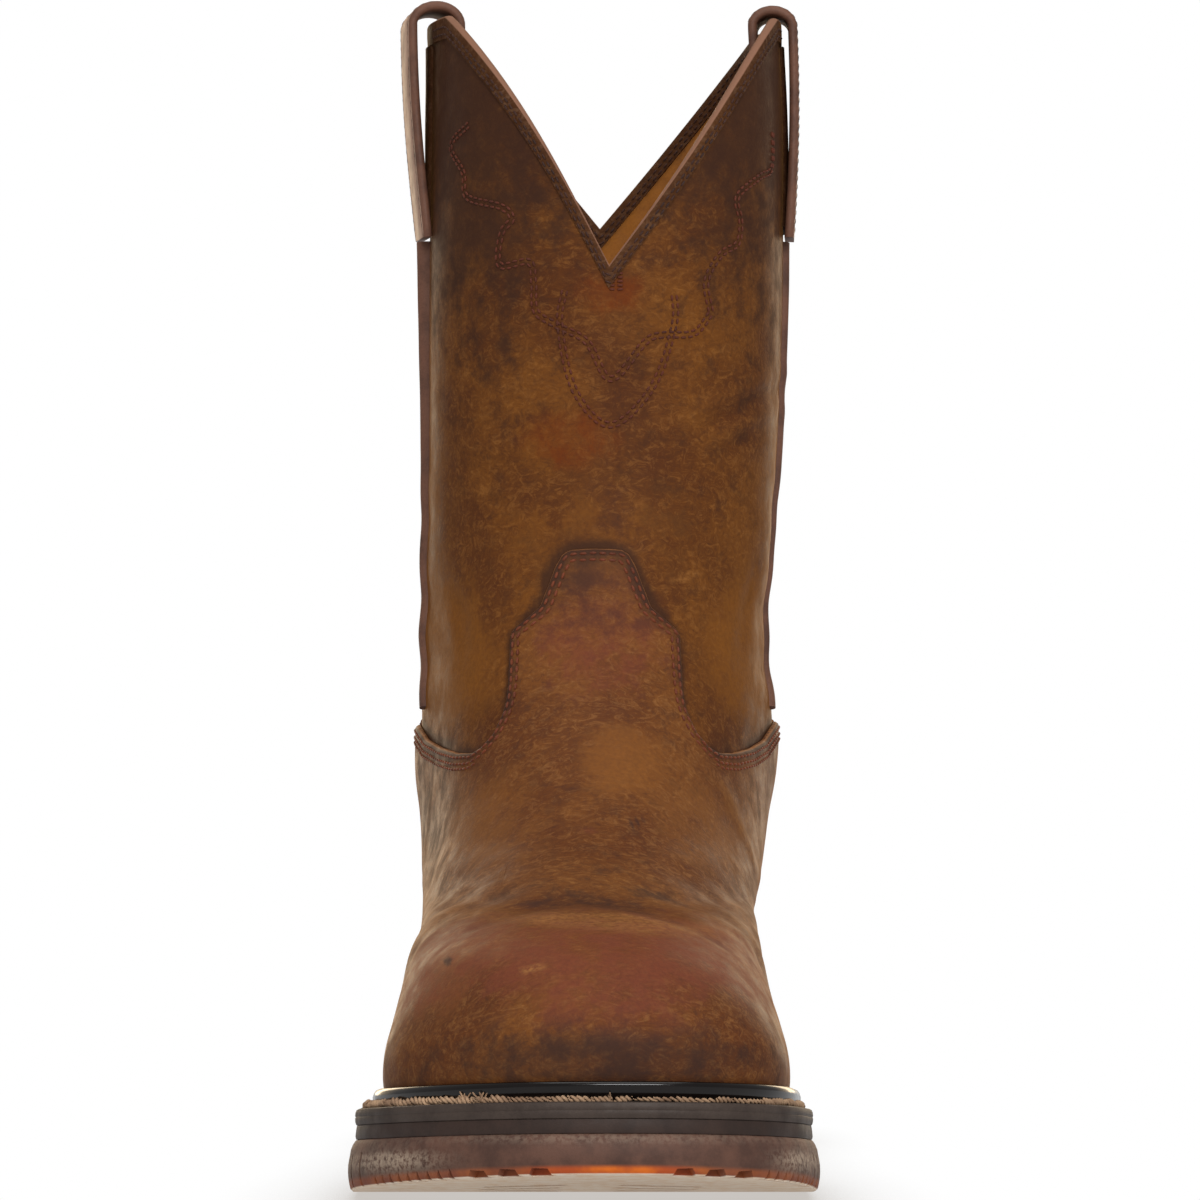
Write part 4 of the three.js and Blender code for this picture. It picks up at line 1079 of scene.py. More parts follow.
class Graph:
    """The node tree of a material, or of the room."""

    def __init__(self, name: str, room: bpy.types.World | None = None) -> None:
        """Starts an empty material with a name, or empties the room's tree.

        Args:
            name: The material's name.
            room: The world, where the tree is the room's.
        """
        self.material = room or bpy.data.materials.new(name)
        self.material.use_nodes = True
        self.tree = self.material.node_tree
        self.tree.nodes.clear()
        self.place = self.add("TexCoord").outputs["Object"]

    def add(self, kind: str, inputs: dict | None = None, **settings: object) -> bpy.types.Node:
        """Adds a node.

        Args:
            kind: Its type, without the ShaderNode prefix.
            inputs: Values or sockets by input name or number.
            settings: The node's own properties.

        Returns:
            The node.
        """
        node = self.tree.nodes.new("ShaderNode" + kind)
        for key, value in settings.items():
            setattr(node, key, value)
        for key, value in (inputs or {}).items():
            if isinstance(value, Socket):
                self.tree.links.new(value, node.inputs[key])
            else:
                node.inputs[key].default_value = linear(value) if isinstance(value, str) else value
        return node

    def noise(
        self, size: float, detail: float = 3, rough: float = 0.55,
        stretch: Triple | None = None, swirl: float = 0,
    ) -> Socket:
        """Noise whose features are about a size in mm, longer where stretch is below 1."""
        place = self.place
        if stretch:
            place = self.add("Mapping", {"Vector": place, "Scale": stretch}).outputs[0]
        inputs = {"Vector": place, "Scale": 1 / (size * MM), "Detail": detail}
        inputs |= {"Roughness": rough, "Distortion": swirl}
        return self.add("TexNoise", inputs).outputs["Fac"]

    def cells(self, size: float, feature: str = "F1") -> Socket:
        """Rounded cells of about a size in mm."""
        inputs = {"Vector": self.place, "Scale": 1 / (size * MM)}
        return self.add("TexVoronoi", inputs, feature=feature).outputs["Distance"]

    def attribute(self, name: str) -> Socket:
        """A value stored on the piece."""
        return self.add("Attribute", attribute_name=name).outputs["Fac"]

    def math(self, operation: str, a: object, b: object = 0.0, clamp: bool = False) -> Socket:
        """One sum of two values."""
        return self.add("Math", {0: a, 1: b}, operation=operation, use_clamp=clamp).outputs[0]

    def remap(
        self, value: object, low: float, high: float, to_low: float = 0, to_high: float = 1
    ) -> Socket:
        """Maps a range softly onto another."""
        inputs = {"Value": value, "From Min": low, "From Max": high, "To Min": to_low, "To Max": to_high}
        return self.add("MapRange", inputs, interpolation_type="SMOOTHSTEP").outputs["Result"]

    def mix(self, share: object, first: object, second: object, blend: str = "MIX") -> Socket:
        """Mixes two colours."""
        node = self.add("Mix", {0: share, 6: first, 7: second}, data_type="RGBA", blend_type=blend)
        return node.outputs[2]

    def bump(self, height: object, depth: float, under: object = None) -> Socket:
        """Relief too fine to model.

        Args:
            height: The relief from 0 to 1.
            depth: Its depth in mm.
            under: The normal of coarser relief beneath it.

        Returns:
            The normal.
        """
        inputs = {"Height": height, "Distance": depth * MM, "Strength": 1.0}
        if under is not None:
            inputs["Normal"] = under
        return self.add("Bump", inputs).outputs["Normal"]

    def finish(self, **inputs: object) -> Material:
        """Ends the tree in one shader.

        Args:
            inputs: Values or sockets, by shader input with _ for spaces.

        Returns:
            The material.
        """
        named = {key.replace("_", " "): value for key, value in inputs.items()}
        named["Specular IOR Level"] = named.pop("Specular", 0.3)
        shader = self.add("BsdfPrincipled", named)
        self.add("OutputMaterial", {"Surface": shader.outputs[0]})
        return self.material


@dataclass(frozen=True)
class LeatherFinish:
    """A pull-up leather: its colours where it is new, oiled, dyed and rubbed, with painted shade in its
    folds and painted highlights on its ridges.

    Attributes:
        base: The main colour.
        dark: Where oil and dirt have gone in, and painted shade in creases, beside seams and beside the
            straps.
        olive: Where the wax is worn thin.
        rust: Where the dye shows red.
        worn: Rubbed edges and scratches, and painted highlights on ridges and along the toe's crest.
        edge: The raw cut edge.
        roughness: The gloss of its face.
    """

    base: str
    dark: str
    olive: str
    rust: str
    worn: str
    edge: str
    roughness: float


@dataclass(frozen=True)
class PlainFinish:
    """A material of one main colour.

    Attributes:
        base: Its colour.
        dark: Its colour in hollows and stains.
        roughness: Its gloss.
        grain: The size of its grain in mm.
        depth: The depth of its grain in mm.
        coat: How much clear gloss lies over it.
        sheen: How much fine nap it has.
    """

    base: str
    dark: str
    roughness: float
    grain: float = 0.6
    depth: float = 0.03
    coat: float = 0
    sheen: float = 0


SHAFT_FINISH = LeatherFinish("#58321b", "#3d281f", "#825020", "#6d3416", "#a66f38", "#8d5c38", 0.5)
VAMP_FINISH = LeatherFinish("#60371f", "#3d2b25", "#825127", "#78402d", "#ae7a46", "#8a5a36", 0.46)
BINDING_FINISH = LeatherFinish("#4a2d1b", "#2e1d17", "#5e3c22", "#5c321e", "#8b6c55", "#8a6450", 0.56)


def leather(name: str, finish: LeatherFinish) -> Material:
    """Full-grain pull-up leather: mottled by its wax, with short swirling fibres where it is rubbed.

    Args:
        name: The material's name.
        finish: Its colours and gloss.

    Returns:
        The material.
    """
    g = Graph(name)
    cloud = g.noise(34, 4, 0.6)
    mottle = g.noise(7, 5, 0.65)
    fine = g.noise(1.1, 3, 0.6)
    fibres = g.noise(2.6, 6, 0.78, (0.55, 1.0, 1.0), 1.6)
    colour = g.mix(g.remap(cloud, 0.36, 0.66, 0, 0.55), finish.base, finish.olive)
    colour = g.mix(g.remap(fibres, 0.46, 0.7, 0, 0.36), colour, finish.worn)
    colour = g.mix(g.remap(fibres, 0.47, 0.3, 0, 0.45), colour, finish.dark)
    colour = g.mix(g.remap(mottle, 0.5, 0.72, 0, 0.5), colour, finish.dark)
    # The dark attribute carries painted shade as well as oiled patches.
    tints = (("olive", finish.olive, 0.8), ("rust", finish.rust, 0.85), ("dark", finish.dark, 0.85))
    for key, tint, most in tints:
        broken = g.math("ADD", g.attribute(key), g.remap(mottle, 0.3, 0.7, -0.22, 0.22))
        colour = g.mix(g.remap(broken, 0.15, 0.95, 0, most), colour, tint)
    # The worn attribute carries painted highlights as well as rubbing.
    rub = g.math("MULTIPLY", g.attribute("worn"), g.remap(g.noise(1.6, 4, 0.7), 0.3, 0.62))
    colour = g.mix(g.math("MULTIPLY", rub, 0.8, True), colour, finish.worn)
    colour = g.mix(g.remap(fine, 0.35, 0.7, 0, 0.22), colour, finish.dark)
    colour = g.mix(g.remap(g.attribute("edge"), 0.35, 0.9), colour, finish.edge)
    pores = g.remap(g.cells(0.75), 0.0, 0.55)
    creased = g.bump(g.noise(4.2, 3, 0.6), 0.05)
    grain = g.bump(g.math("ADD", g.math("MULTIPLY", pores, 0.6), fine), 0.035, creased)
    gloss = g.remap(mottle, 0.3, 0.7, finish.roughness - 0.08, finish.roughness + 0.1)
    dull = g.math("ADD", gloss, g.math("MULTIPLY", rub, 0.2))
    return g.finish(
        Base_Color=colour,
        Roughness=dull,
        Normal=grain,
        Specular=0.025,
        Sheen_Weight=0.2,
        Sheen_Roughness=0.14,
        Sheen_Tint="#e8a65c",
    )


def plain(name: str, finish: PlainFinish) -> Material:
    """A material with one colour, stained a little, and a fine grain.

    Args:
        name: The material's name.
        finish: Its colour, gloss and grain.

    Returns:
        The material.
    """
    g = Graph(name)
    stain = g.remap(g.noise(11, 5, 0.65), 0.42, 0.7, 0, 0.7)
    colour = g.mix(stain, finish.base, finish.dark)
    fine = g.noise(finish.grain, 3, 0.6)
    colour = g.mix(g.remap(fine, 0.4, 0.7, 0, 0.25), colour, finish.dark)
    dull = g.remap(g.noise(6, 3), 0.3, 0.7, max(0, finish.roughness - 0.07), finish.roughness + 0.07)
    normal = g.bump(fine, finish.depth)
    return g.finish(
        Base_Color=colour,
        Roughness=dull,
        Normal=normal,
        Coat_Weight=finish.coat,
        Coat_Roughness=0.12,
        Sheen_Weight=finish.sheen,
        Sheen_Roughness=0.5,
    )


class Palette:
    """Every material of the boot, named for what it is and how it was made."""

    def __init__(self) -> None:
        """Makes the materials."""
        # Waxed grain gone soft: golden nap at the contours, dark oiled patches and painted shade, rubbed
        # high spots and painted highlights.
        self.shaft = leather("pull_up_shaft_leather", SHAFT_FINISH)
        # The same hide, oiled redder over the toe.
        self.vamp = leather("pull_up_vamp_leather", VAMP_FINISH)
        # Brushed flesh side: dull golden nap.
        nap = PlainFinish("#8a5a2b", "#5a3820", 0.95, 0.5, 0.08, 0, 0.5)
        self.lining = plain("brushed_suede_lining", nap)
        # Golden facing inside the collar, its nap brushed up.
        nap = PlainFinish("#9c6020", "#6b3e16", 0.85, 0.7, 0.06, 0, 0.2)
        self.facing = plain("napped_facing_leather", nap)
        # Folded strip of the same hide, paler where it is stretched over the edge.
        self.binding = leather("folded_binding_leather", BINDING_FINISH)
        # Strap and piping leather, greyed by handling.
        self.strap = plain("stitched_strap_leather", PlainFinish("#714c3b", "#452e26", 0.62, 0.6, 0.06))
        # The strap's outer face: the same leather painted paler, a painted highlight of the rim light.
        self.strap_face = plain("strap_painted_highlight_leather", PlainFinish("#b08c78", "#6e5042", 0.6, 0.6, 0.06))
        # Moulded rubber with a wet gloss: sharp white streaks.
        self.rand = plain("gloss_moulded_rubber", PlainFinish("#0c0706", "#120b09", 0.16, 3, 0.01, 0.12))
        # Rubber welt, greyed with dust.
        self.welt = plain("buffed_welt_rubber", PlainFinish("#463a33", "#322722", 0.62, 0.8, 0.05))
        # Thin cut layer, black and dull.
        self.midsole = plain("cut_midsole_rubber", PlainFinish("#3a2a23", "#2a1e19", 0.6, 0.6, 0.04))
        # Board faced with thin leather, dry and matt.
        self.insole = plain("pressed_insole_leather", PlainFinish("#7d5836", "#5a3c25", 0.8, 0.8, 0.04))
        # Waxed thread, low gloss: rust where it is new, duller where the shaft has rubbed it.
        self.rust_thread = plain("waxed_rust_thread", PlainFinish("#74371b", "#4a2214", 0.6, 0.3, 0.05))
        self.faded_thread = plain("faded_rust_thread", PlainFinish("#5f2c1a", "#3f2015", 0.7, 0.3, 0.05))
        self.dark_thread = plain("waxed_dark_thread", PlainFinish("#42251a", "#2a1812", 0.65, 0.3, 0.05))
        # Unwaxed linen with loose fibres, pale and rough.
        self.tan_thread = plain("coarse_linen_thread", PlainFinish("#b89778", "#6e5140", 0.85, 1.4, 0.08))
        self.sole = sole_rubber()


def sole_rubber() -> Material:
    """Moulded crepe rubber: brown wall, amber line near the tread with a painted glow, tan worn tread
    painted paler as if lit from the floor.

    Returns:
        The material, which reads the share of the way up the wall from the attribute "wall".
    """
    g = Graph("moulded_crepe_rubber")
    wall = g.attribute("wall")
    brown = g.mix(g.remap(g.noise(8, 5, 0.65), 0.35, 0.7), "#624336", "#4b332a")
    lit = g.mix(g.remap(g.noise(9, 3), 0.35, 0.65), "#e0701c", "#b04c1e")
    amber = g.mix(g.attribute("glow"), brown, lit)
    colour = g.mix(g.remap(wall, 0.12, 0.26), amber, brown)
    # The tread's pale colour is partly painted bounce light from the floor.
    tan = g.mix(g.remap(g.noise(4, 5, 0.65), 0.35, 0.7), "#ffeeda", "#f2d4b4")
    colour = g.mix(g.remap(wall, 0.005, 0.04), tan, colour)
    scuffed = g.math("MULTIPLY", g.attribute("scuff"), g.remap(g.noise(1.3, 4, 0.7), 0.35, 0.6))
    colour = g.mix(scuffed, colour, "#a8937f")
    normal = g.bump(g.noise(1.2, 4, 0.65), 0.12)
    return g.finish(Base_Color=colour, Roughness=0.66, Normal=normal)


# The middle of the boot, in metres.
BOOT_MIDDLE = (0.0, -0.08, 0.15)
# The room's light from the front, and the brighter and warmer light from behind the boot.
FRONT_LEVEL = (0.36, 0.36, 0.36, 1.0)
BACK_LEVEL = (1.3, 1.0, 0.66, 1.0)
# How far towards the back the warm light starts.
BACK_FROM = 0.66
WARM = (1.0, 0.8, 0.55)
# How much of its light the floor gives the boot, and how far from the boot its painted contact shadow
# reaches, in metres.
FLOOR_LEVEL = 0.65
CONTACT = 0.035


def light(name: str, place: Triple, size: Point, power: float, tint: Triple = (1.0, 1.0, 1.0)) -> None:
    """Adds a soft lamp that looks at the middle of the boot.

    Args:
        name: Its name.
        place: Where it stands, in metres.
        size: Its width and height in metres.
        power: Its power in watts.
        tint: The colour of its light.
    """
    bpy.ops.object.light_add(type="AREA", location=place)
    lamp = bpy.context.object
    lamp.name = name
    aim = np.array(BOOT_MIDDLE) - np.array(place)
    lamp.rotation_euler = aimed(aim)
    lamp.data.shape = "RECTANGLE"
    lamp.data.size, lamp.data.size_y = size
    lamp.data.energy = power
    lamp.data.color = tint


def aimed(aim: Array) -> Euler:
    """The turn that points a lamp along a direction."""
    flat = math.hypot(aim[0], aim[1])
    return Euler((math.atan2(flat, -aim[2]), 0, math.atan2(aim[1], aim[0]) - math.pi / 2))


def studio() -> None:
    """A white room with soft lamps, and a white floor that only shows where the boot stands, through a
    painted contact shadow.
    """
    world = bpy.data.worlds.new("white_room")
    bpy.context.scene.world = world
    g = Graph("white_room", world)
    across = g.add("SeparateXYZ", {0: g.add("TexCoord").outputs["Generated"]}).outputs["Y"]
    behind = g.add("MapRange", {"Value": across, "From Min": BACK_FROM}).outputs["Result"]
    seen = g.add("LightPath").outputs["Is Camera Ray"]
    room = g.mix(seen, g.mix(behind, FRONT_LEVEL, BACK_LEVEL), (1.0, 1.0, 1.0, 1.0))
    g.add("OutputWorld", {"Surface": g.add("Background", {"Color": room}).outputs[0]})
    bpy.context.scene.view_settings.view_transform = "Standard"
    light("left_rim", (-0.55, 1.2, 0.3), (0.35, 1.2), 5, WARM)
    light("right_rim", (0.55, 1.2, 0.3), (0.4, 1.2), 4, WARM)
    light("overhead", (0, -0.3, 1.5), (1.2, 1.0), 7)
    light("front_fill", (0.25, -1.8, 0.9), (0.9, 0.6), 20)
    bpy.ops.mesh.primitive_plane_add(size=8, location=(0, 0, -0.0005))
    floor = bpy.context.object
    floor.name = "floor"
    g = Graph("white_floor_painted_shadow")
    # Painted contact shadow: the glowing floor greys near the boot.
    shade = g.add("AmbientOcclusion", {"Distance": CONTACT}, samples=6).outputs["AO"]
    level = g.math("MAXIMUM", g.add("LightPath").outputs["Is Camera Ray"], FLOOR_LEVEL)
    white = g.mix(g.remap(shade, 0.3, 1), "#c9c4bf", "#ffffff")
    glow = g.add("Emission", {"Color": white, "Strength": level})
    g.add("OutputMaterial", {"Surface": glow.outputs[0]})
    floor.data.materials.append(g.material)


class Loft:
    """Closed pieces from cross sections along a path, or from rings round the boot."""

    @staticmethod
    def ring(
        name: str, profile: Array, material: Material, angle: float = 40, edge: Sequence[float] = (0,)
    ) -> Object:
        """A ring round the boot.

        Args:
            name: Its name.
            profile: Points by place in the profile and column; the last column repeats the first.
            material: Its material.
            angle: The angle above which edges stay crisp.
            edge: How much each place in the profile is a rubbed edge.

        Returns:
            The piece.
        """
        closed = np.concatenate([profile, profile[:1]])
        rubbed = np.array([*edge, edge[0]])[:, None] if len(edge) > 1 else np.zeros((1, 1))
        return Shop.weld(name, [Shop.sheet(name, closed, material, edge=rubbed)], angle)

    @staticmethod
    def bar(name: str, sections: Array, material: Material, angle: float = 40) -> Object:
        """A bar with closed ends.

        Args:
            name: Its name.
            sections: Points by place along the bar and place in the section.
            material: Its material.
            angle: The angle above which edges stay crisp.

        Returns:
            The piece.
        """
        around = np.concatenate([sections, sections[:, :1]], axis=1)
        ends = [np.repeat(around[i].mean(0)[None, None], around.shape[1], 1) for i in (0, -1)]
        skin = np.concatenate([ends[0], around, ends[1]])
        return Shop.weld(name, [Shop.sheet(name, skin, material)], angle)

    @staticmethod
    def plate(
        name: str, rings: Array, material: Material, heights: tuple[Rise, Rise], across: int = 14
    ) -> Object:
        """A plate under the foot, with its faces closed across.

        Args:
            name: Its name.
            rings: Points of its wall by height and column, from the toe round to the toe.
            material: Its material.
            heights: The heights of its underside and its top over a y.
            across: Points across its faces.

        Returns:
            The piece.
        """
        parts = [Shop.sheet(name, rings, material)]
        half = (rings.shape[1] - 1) // 2
        share = np.linspace(0, 1, across)[None, :, None]
        for ring, height in ((rings[0], heights[0]), (rings[-1], heights[1])):
            left, right = ring[: half + 1, None], ring[::-1][: half + 1, None]
            face = left * (1 - share) + right * share
            face[:, 1:-1, 2] = height(face[:, 1:-1, 1])
            parts.append(Shop.sheet(name, face, material))
        return Shop.weld(name, parts)


# The rand's section: how far out of the vamp and how high over the welt.
RAND_PROFILE = (
    (2.6, 0), (2.9, 0.5), (2.95, 1.4), (2.75, 2.6), (2.3, 3.6),
    (1.6, 4.3), (0.8, 4.6), (0, 4.4), (0, 2.2), (0, 0),
)
# The welt's edge with its groove, then the channel of its stitches: out of its margin, below its top.
WELT_PROFILE = (
    (-0.2, -4.1), (0.1, -3.9), (0.3, -3.2), (0.35, -2.4), (0.2, -2.05), (0.35, -1.7), (0.25, -0.9),
    (0, -0.3), (-0.5, 0), (-1.9, 0), (-2.3, -0.45), (-3.2, -0.45), (-3.6, 0),
)
# How far the midsole reaches into the gaps above and below it.
CLOSED = 0.8 * GAP
# The outsole's wall: out of its margin and share of the way up, then the same from the welt's.
SOLE_WALL = (
    (-1.1, 0), (-0.6, 0.04), (-0.35, 0.12), (-0.1, 0.24),
    (0, 0.36), (-0.05, 0.5), (-0.3, 0.62), (-0.55, 0.72),
)
SOLE_SHOULDER = ((1.4, 0.8), (0.9, 0.9), (0.35, 0.97), (-0.1, 1))
# Where scallops, saw teeth and bars start, end and how far apart they are.
SCALLOPS = (17.5, 38, 8.2)
TEETH = (42, 74, 3.7)
BARS = (-216, -109.2, 12.5)
SLOT_COUNT = 8
SLOT_START = -213
SLOT_PITCH = 9
HEEL_WALL = ((-2.8, 0), (-2.2, 0.03), (-1.9, 0.1), (-0.75, 0.33), (-0.35, 0.6), (0, 0.94), (-0.4, 1))
HEEL_INSET = 1.2
HEEL_GROOVES = 4
HEEL_GROOVE_PITCH = 15.7
# The y of the heel's straight breast.
BREAST_Y = -37
# Scuffs on the toe's wall: picture point, then half sizes across and up.
SCUFFS = ((385, 1158, 44, 12), (803, 1156, 22, 14), (600, 1138, 180, 5))
# The y from which the wall is worn, and the length over which that fades in.
FRONT_FROM = -125
FRONT_EASE = 45


def heel_top(y: Array) -> Array:
    """The height of the heel's top, never under the ground."""
    return np.maximum(0, GROUND.sole_bottom(y) - GAP)


@dataclass
class Bottom:
    """Rand, welt, midsole, outsole, heel and insole.

    Attributes:
        form: The form whose foot they follow.
        columns: Points round them.
        welt_margin: The welt's edge beyond the vamp.
        sole_margin: The outsole's edge beyond the vamp.
        bias: How much further the sole stands out on the lateral side.
        inset: The welt's inner edge inside the vamp.
    """

    form: Form
    columns: int = 288
    welt_margin: float = 6.9
    sole_margin: float = 9
    bias: float = 0.8
    inset: float = 9

    def __post_init__(self) -> None:
        """Finds the line of the vamp's foot and the way out from it."""
        self.around = np.linspace(0, 1, self.columns + 1)
        self.foot = self.form.face(self.around, 0, GAP + OVERLAY, bare=True)
        ahead = self.form.face(self.around + 0.004, 0, GAP + OVERLAY, bare=True)
        behind = self.form.face(self.around - 0.004, 0, GAP + OVERLAY, bare=True)
        along = unit((ahead - behind)[:, :2])
        self.out = np.stack([-along[:, 1], along[:, 0]], -1)

    def line(self, margin: float, height: Rise) -> Array:
        """The foot's outline moved out by a margin, at a height that depends on y."""
        far = margin + (self.bias * np.sin(2 * np.pi * self.around) if margin > 0 else 0)
        plan = self.foot[:, :2] + self.out * np.broadcast_to(far, self.around.shape)[:, None]
        return np.column_stack([plan, height(plan[:, 1])])

    def lines(self, rows: Sequence[tuple[float, Rise]]) -> Array:
        """Several outlines, one above the other."""
        return np.stack([self.line(margin, height) for margin, height in rows])

    def rand(self, palette: Palette) -> None:
        """The glossy strip on the welt, pressed against the vamp."""
        face = GAP + OVERLAY + GAP
        rows = []
        for out, rise in RAND_PROFILE:

            def seat(p: Array, around: Array, level: Array, rise: float = rise) -> Array:
                """The height of this line of the strip."""
                return GROUND.welt_top(p[..., 1]) + GAP + rise

            level = self.form.level_at(self.around, seat, 0, face)
            foot = self.form.face(self.around, level, face, bare=True)
            plan = foot[:, :2] + self.out * out
            rows.append(np.column_stack([plan, GROUND.welt_top(plan[:, 1]) + GAP + rise]))
        Shop.place(Loft.ring("rand_rubber", np.stack(rows), palette.rand, 70), "rand_rubber", "rand")

    def welt(self, palette: Palette) -> None:
        """The welt, with a groove in its edge and a channel for its stitches."""
        profile = [(self.welt_margin + out, rise) for out, rise in WELT_PROFILE]
        profile += [(0, 0), (-4.5, 0), (-self.inset, 0), (-self.inset, -GROUND.welt)]
        rows = [(m, lambda y, h=h: GROUND.welt_top(y) + h) for m, h in profile]
        Shop.place(Loft.ring("welt_rubber", self.lines(rows), palette.welt, 34), "welt_rubber", "welt")

    def midsole(self, palette: Palette) -> None:
        """The thin dark layer, a little inside the welt."""
        top, thick = GROUND.midsole_top, GROUND.midsole
        margin = self.welt_margin
        rises = (-thick - CLOSED, -thick * 0.8, -thick * 0.2, CLOSED)
        outs = (0.1, 0.25, 0.05, -0.1)
        rows = [(margin + out, lambda y, h=h: top(y) + h) for out, h in zip(outs, rises)]
        faces = (rows[0][1], rows[-1][1])
        piece = Loft.plate("midsole_rubber", self.lines(rows), palette.midsole, faces)
        Shop.place(piece, "midsole_rubber", "midsole")

    def insole(self, palette: Palette) -> None:
        """The cork in the welt's ring and the board with its leather over it."""
        cork, board = -self.inset - GAP, -OVERLAY - GAP - WALL - 2 * GAP
        profile = ((cork, -4.1), (cork, GAP), (board, GAP), (board, 2.4 + GAP), (board - 0.8, 3 + GAP))
        rows = [(m, lambda y, h=h: GROUND.welt_top(y) + h) for m, h in profile]
        faces = (rows[0][1], rows[-1][1])
        piece = Loft.plate("insole_board", self.lines(rows), palette.insole, faces)
        Shop.place(piece, "insole_board", "insole")

    def outsole(self, palette: Palette) -> None:
        """The lugged sole: a bulging wall, wedge notches round the toe, slots and bars."""
        bottom, top = GROUND.sole_bottom, GROUND.sole_top
        profile = [(self.sole_margin + out, share) for out, share in SOLE_WALL]
        profile += [(self.welt_margin + out, share) for out, share in SOLE_SHOULDER]
        rows = [(m, lambda y, s=s: bottom(y) + (top(y) - bottom(y)) * s) for m, s in profile]
        piece = Loft.plate("outsole_rubber", self.lines(rows), palette.sole, (bottom, top), 24)
        Shop.cut(piece, [*self.notches(), *self.bars(), *self.slots()])
        self.mark(piece, bottom, top)
        Shop.place(piece, "tread_rubber", "outsole")

    def mark(self, piece: Object, bottom: Rise, top: Rise) -> None:
        """Stores how far up the wall each point is, where the rubber is scuffed, and the painted glow of its
        amber band.
        """
        mesh = piece.data
        p = Shop.points(mesh) / MM
        wall = (p[:, 2] - bottom(p[:, 1])) / (top(p[:, 1]) - bottom(p[:, 1]))
        low = smooth((0.75 - wall) * 4)
        pixels = LENS.pixels(p)
        front = smooth((FRONT_FROM - p[:, 1]) / FRONT_EASE)
        # Painted glow: the amber band is lit brightest at the middle of the toe's front.
        glow = (0.3 + 0.7 * smooth((110 - np.abs(pixels[:, 0] - 613)) / 60)) * front
        scuff = np.zeros(len(p))
        for x, y, wide, high in SCUFFS:
            scuff += bell(np.hypot((pixels[:, 0] - x) / wide, (pixels[:, 1] - y) / high)) * front
        marks = {"wall": np.clip(wall, 0, 1), "scuff": np.clip(scuff * (0.3 + low), 0, 1), "glow": glow}
        for key, values in marks.items():
            Shop.store(mesh, key, values)

    def wedge(
        self, place: Array, turn: float, size: Triple, peak: float = 0.8
    ) -> Object:
        """A cutter that may draw in towards its top.

        Args:
            place: Its middle on the floor side, in mm.
            turn: How far it is turned in plan.
            size: Its width, run and height.
            peak: Its top's width as a share.

        Returns:
            The cutter.
        """
        wide, run, high = size
        bpy.ops.mesh.primitive_cube_add(size=1, location=tuple(place * MM), rotation=(0, 0, turn))
        cutter = bpy.context.object
        cutter.scale = (wide * MM, run * MM, 2 * high * MM)
        bpy.ops.object.transform_apply(location=False, rotation=False, scale=True)
        for vertex in cutter.data.vertices:
            if vertex.co.z > 0:
                vertex.co.x *= peak
        bpy.ops.object.transform_apply(location=True, rotation=True, scale=True)
        return cutter

    def notches(self) -> list[Object]:
        """Scallops beside the plain bumper of the toe, then saw teeth, in the wall's lower edge."""
        line = self.line(self.sole_margin, GROUND.sole_bottom)
        scallops = [(due, (7.0, 9, 1.5), 0.55) for due in np.arange(*SCALLOPS)]
        teeth = [(due, (3.6, 8, 2.3), 0.03) for due in np.arange(*TEETH)]
        made = []
        for path in (line, line[::-1]):
            walked = walk(path[:, :2])
            for due, size, peak in scallops + teeth:
                near = (due, due + 1)
                p, q = np.stack([np.interp(near, walked, path[:, k]) for k in range(3)], -1)
                turn = math.atan2(q[1] - p[1], q[0] - p[0])
                made.append(self.wedge(p, turn, size, peak))
        return made

    def bars(self) -> list[Object]:
        """Slanting grooves across the middle of the forefoot."""
        made = []
        for y in np.arange(*BARS):
            for side in (-1, 1):
                x = float(self.form.swing(np.array([y]))[0]) + side * 16.5
                place = np.array([x, y, GROUND.sole_bottom(y)])
                made.append(self.wedge(place, side * math.radians(24), (25, 3.6, 3.4)))
        return made

    def slots(self) -> list[Object]:
        """Upright slots in the sides of the forefoot."""
        line = self.line(self.sole_margin, GROUND.sole_bottom)
        made = []
        for side in (-1, 1):
            edge = line[line[:, 0] * side > 13]
            for n in range(SLOT_COUNT):
                y = SLOT_START + n * SLOT_PITCH
                near = edge[np.argmin(np.abs(edge[:, 1] - y))]
                place = np.array([near[0], y, GROUND.sole_bottom(y)])
                made.append(self.wedge(place, 0, (5, 1.5, 8.4), 1))
        return made

    def heel(self, palette: Palette) -> None:
        """The heel: a tapered block with a straight breast and a grooved tread."""
        margin = self.sole_margin - HEEL_INSET
        rows = [(margin + m, lambda y, s=s: heel_top(y) * s) for m, s in HEEL_WALL]
        faces = (rows[0][1], heel_top)
        piece = Loft.plate("heel_rubber", self.lines(rows), palette.sole, faces, 20)
        room = 0.4
        bpy.ops.mesh.primitive_cube_add(size=room, location=(0, BREAST_Y * MM + room / 2, 0))
        Shop.cut(piece, [bpy.context.object], keep=True)
        grooves = []
        for n in range(1, HEEL_GROOVES + 1):
            for x in (-38, 38):
                place = np.array([x, BREAST_Y + n * HEEL_GROOVE_PITCH, 0])
                grooves.append(self.wedge(place, 0, (54, 3.6, 3.4)))
        Shop.cut(piece, grooves)
        self.mark(piece, lambda y: 0 * y - 2, lambda y: np.maximum(6, heel_top(y)) + 4)
        Shop.place(piece, "tread_rubber", "heel")

    def make(self, palette: Palette) -> None:
        """Builds every piece of the bottom."""
        self.rand(palette)
        self.welt(palette)
        self.midsole(palette)
        self.insole(palette)
        self.outsole(palette)
        self.heel(palette)


# Half the section of a strip along a seam: across and out, as shares.
STRIP_SECTION = (
    (-1, 0), (-0.92, 0.45), (-0.7, 0.8), (-0.35, 0.97), (0, 1), (0.35, 0.97),
    (0.7, 0.8), (0.92, 0.45), (1, 0), (0.5, 0), (-0.5, 0),
)
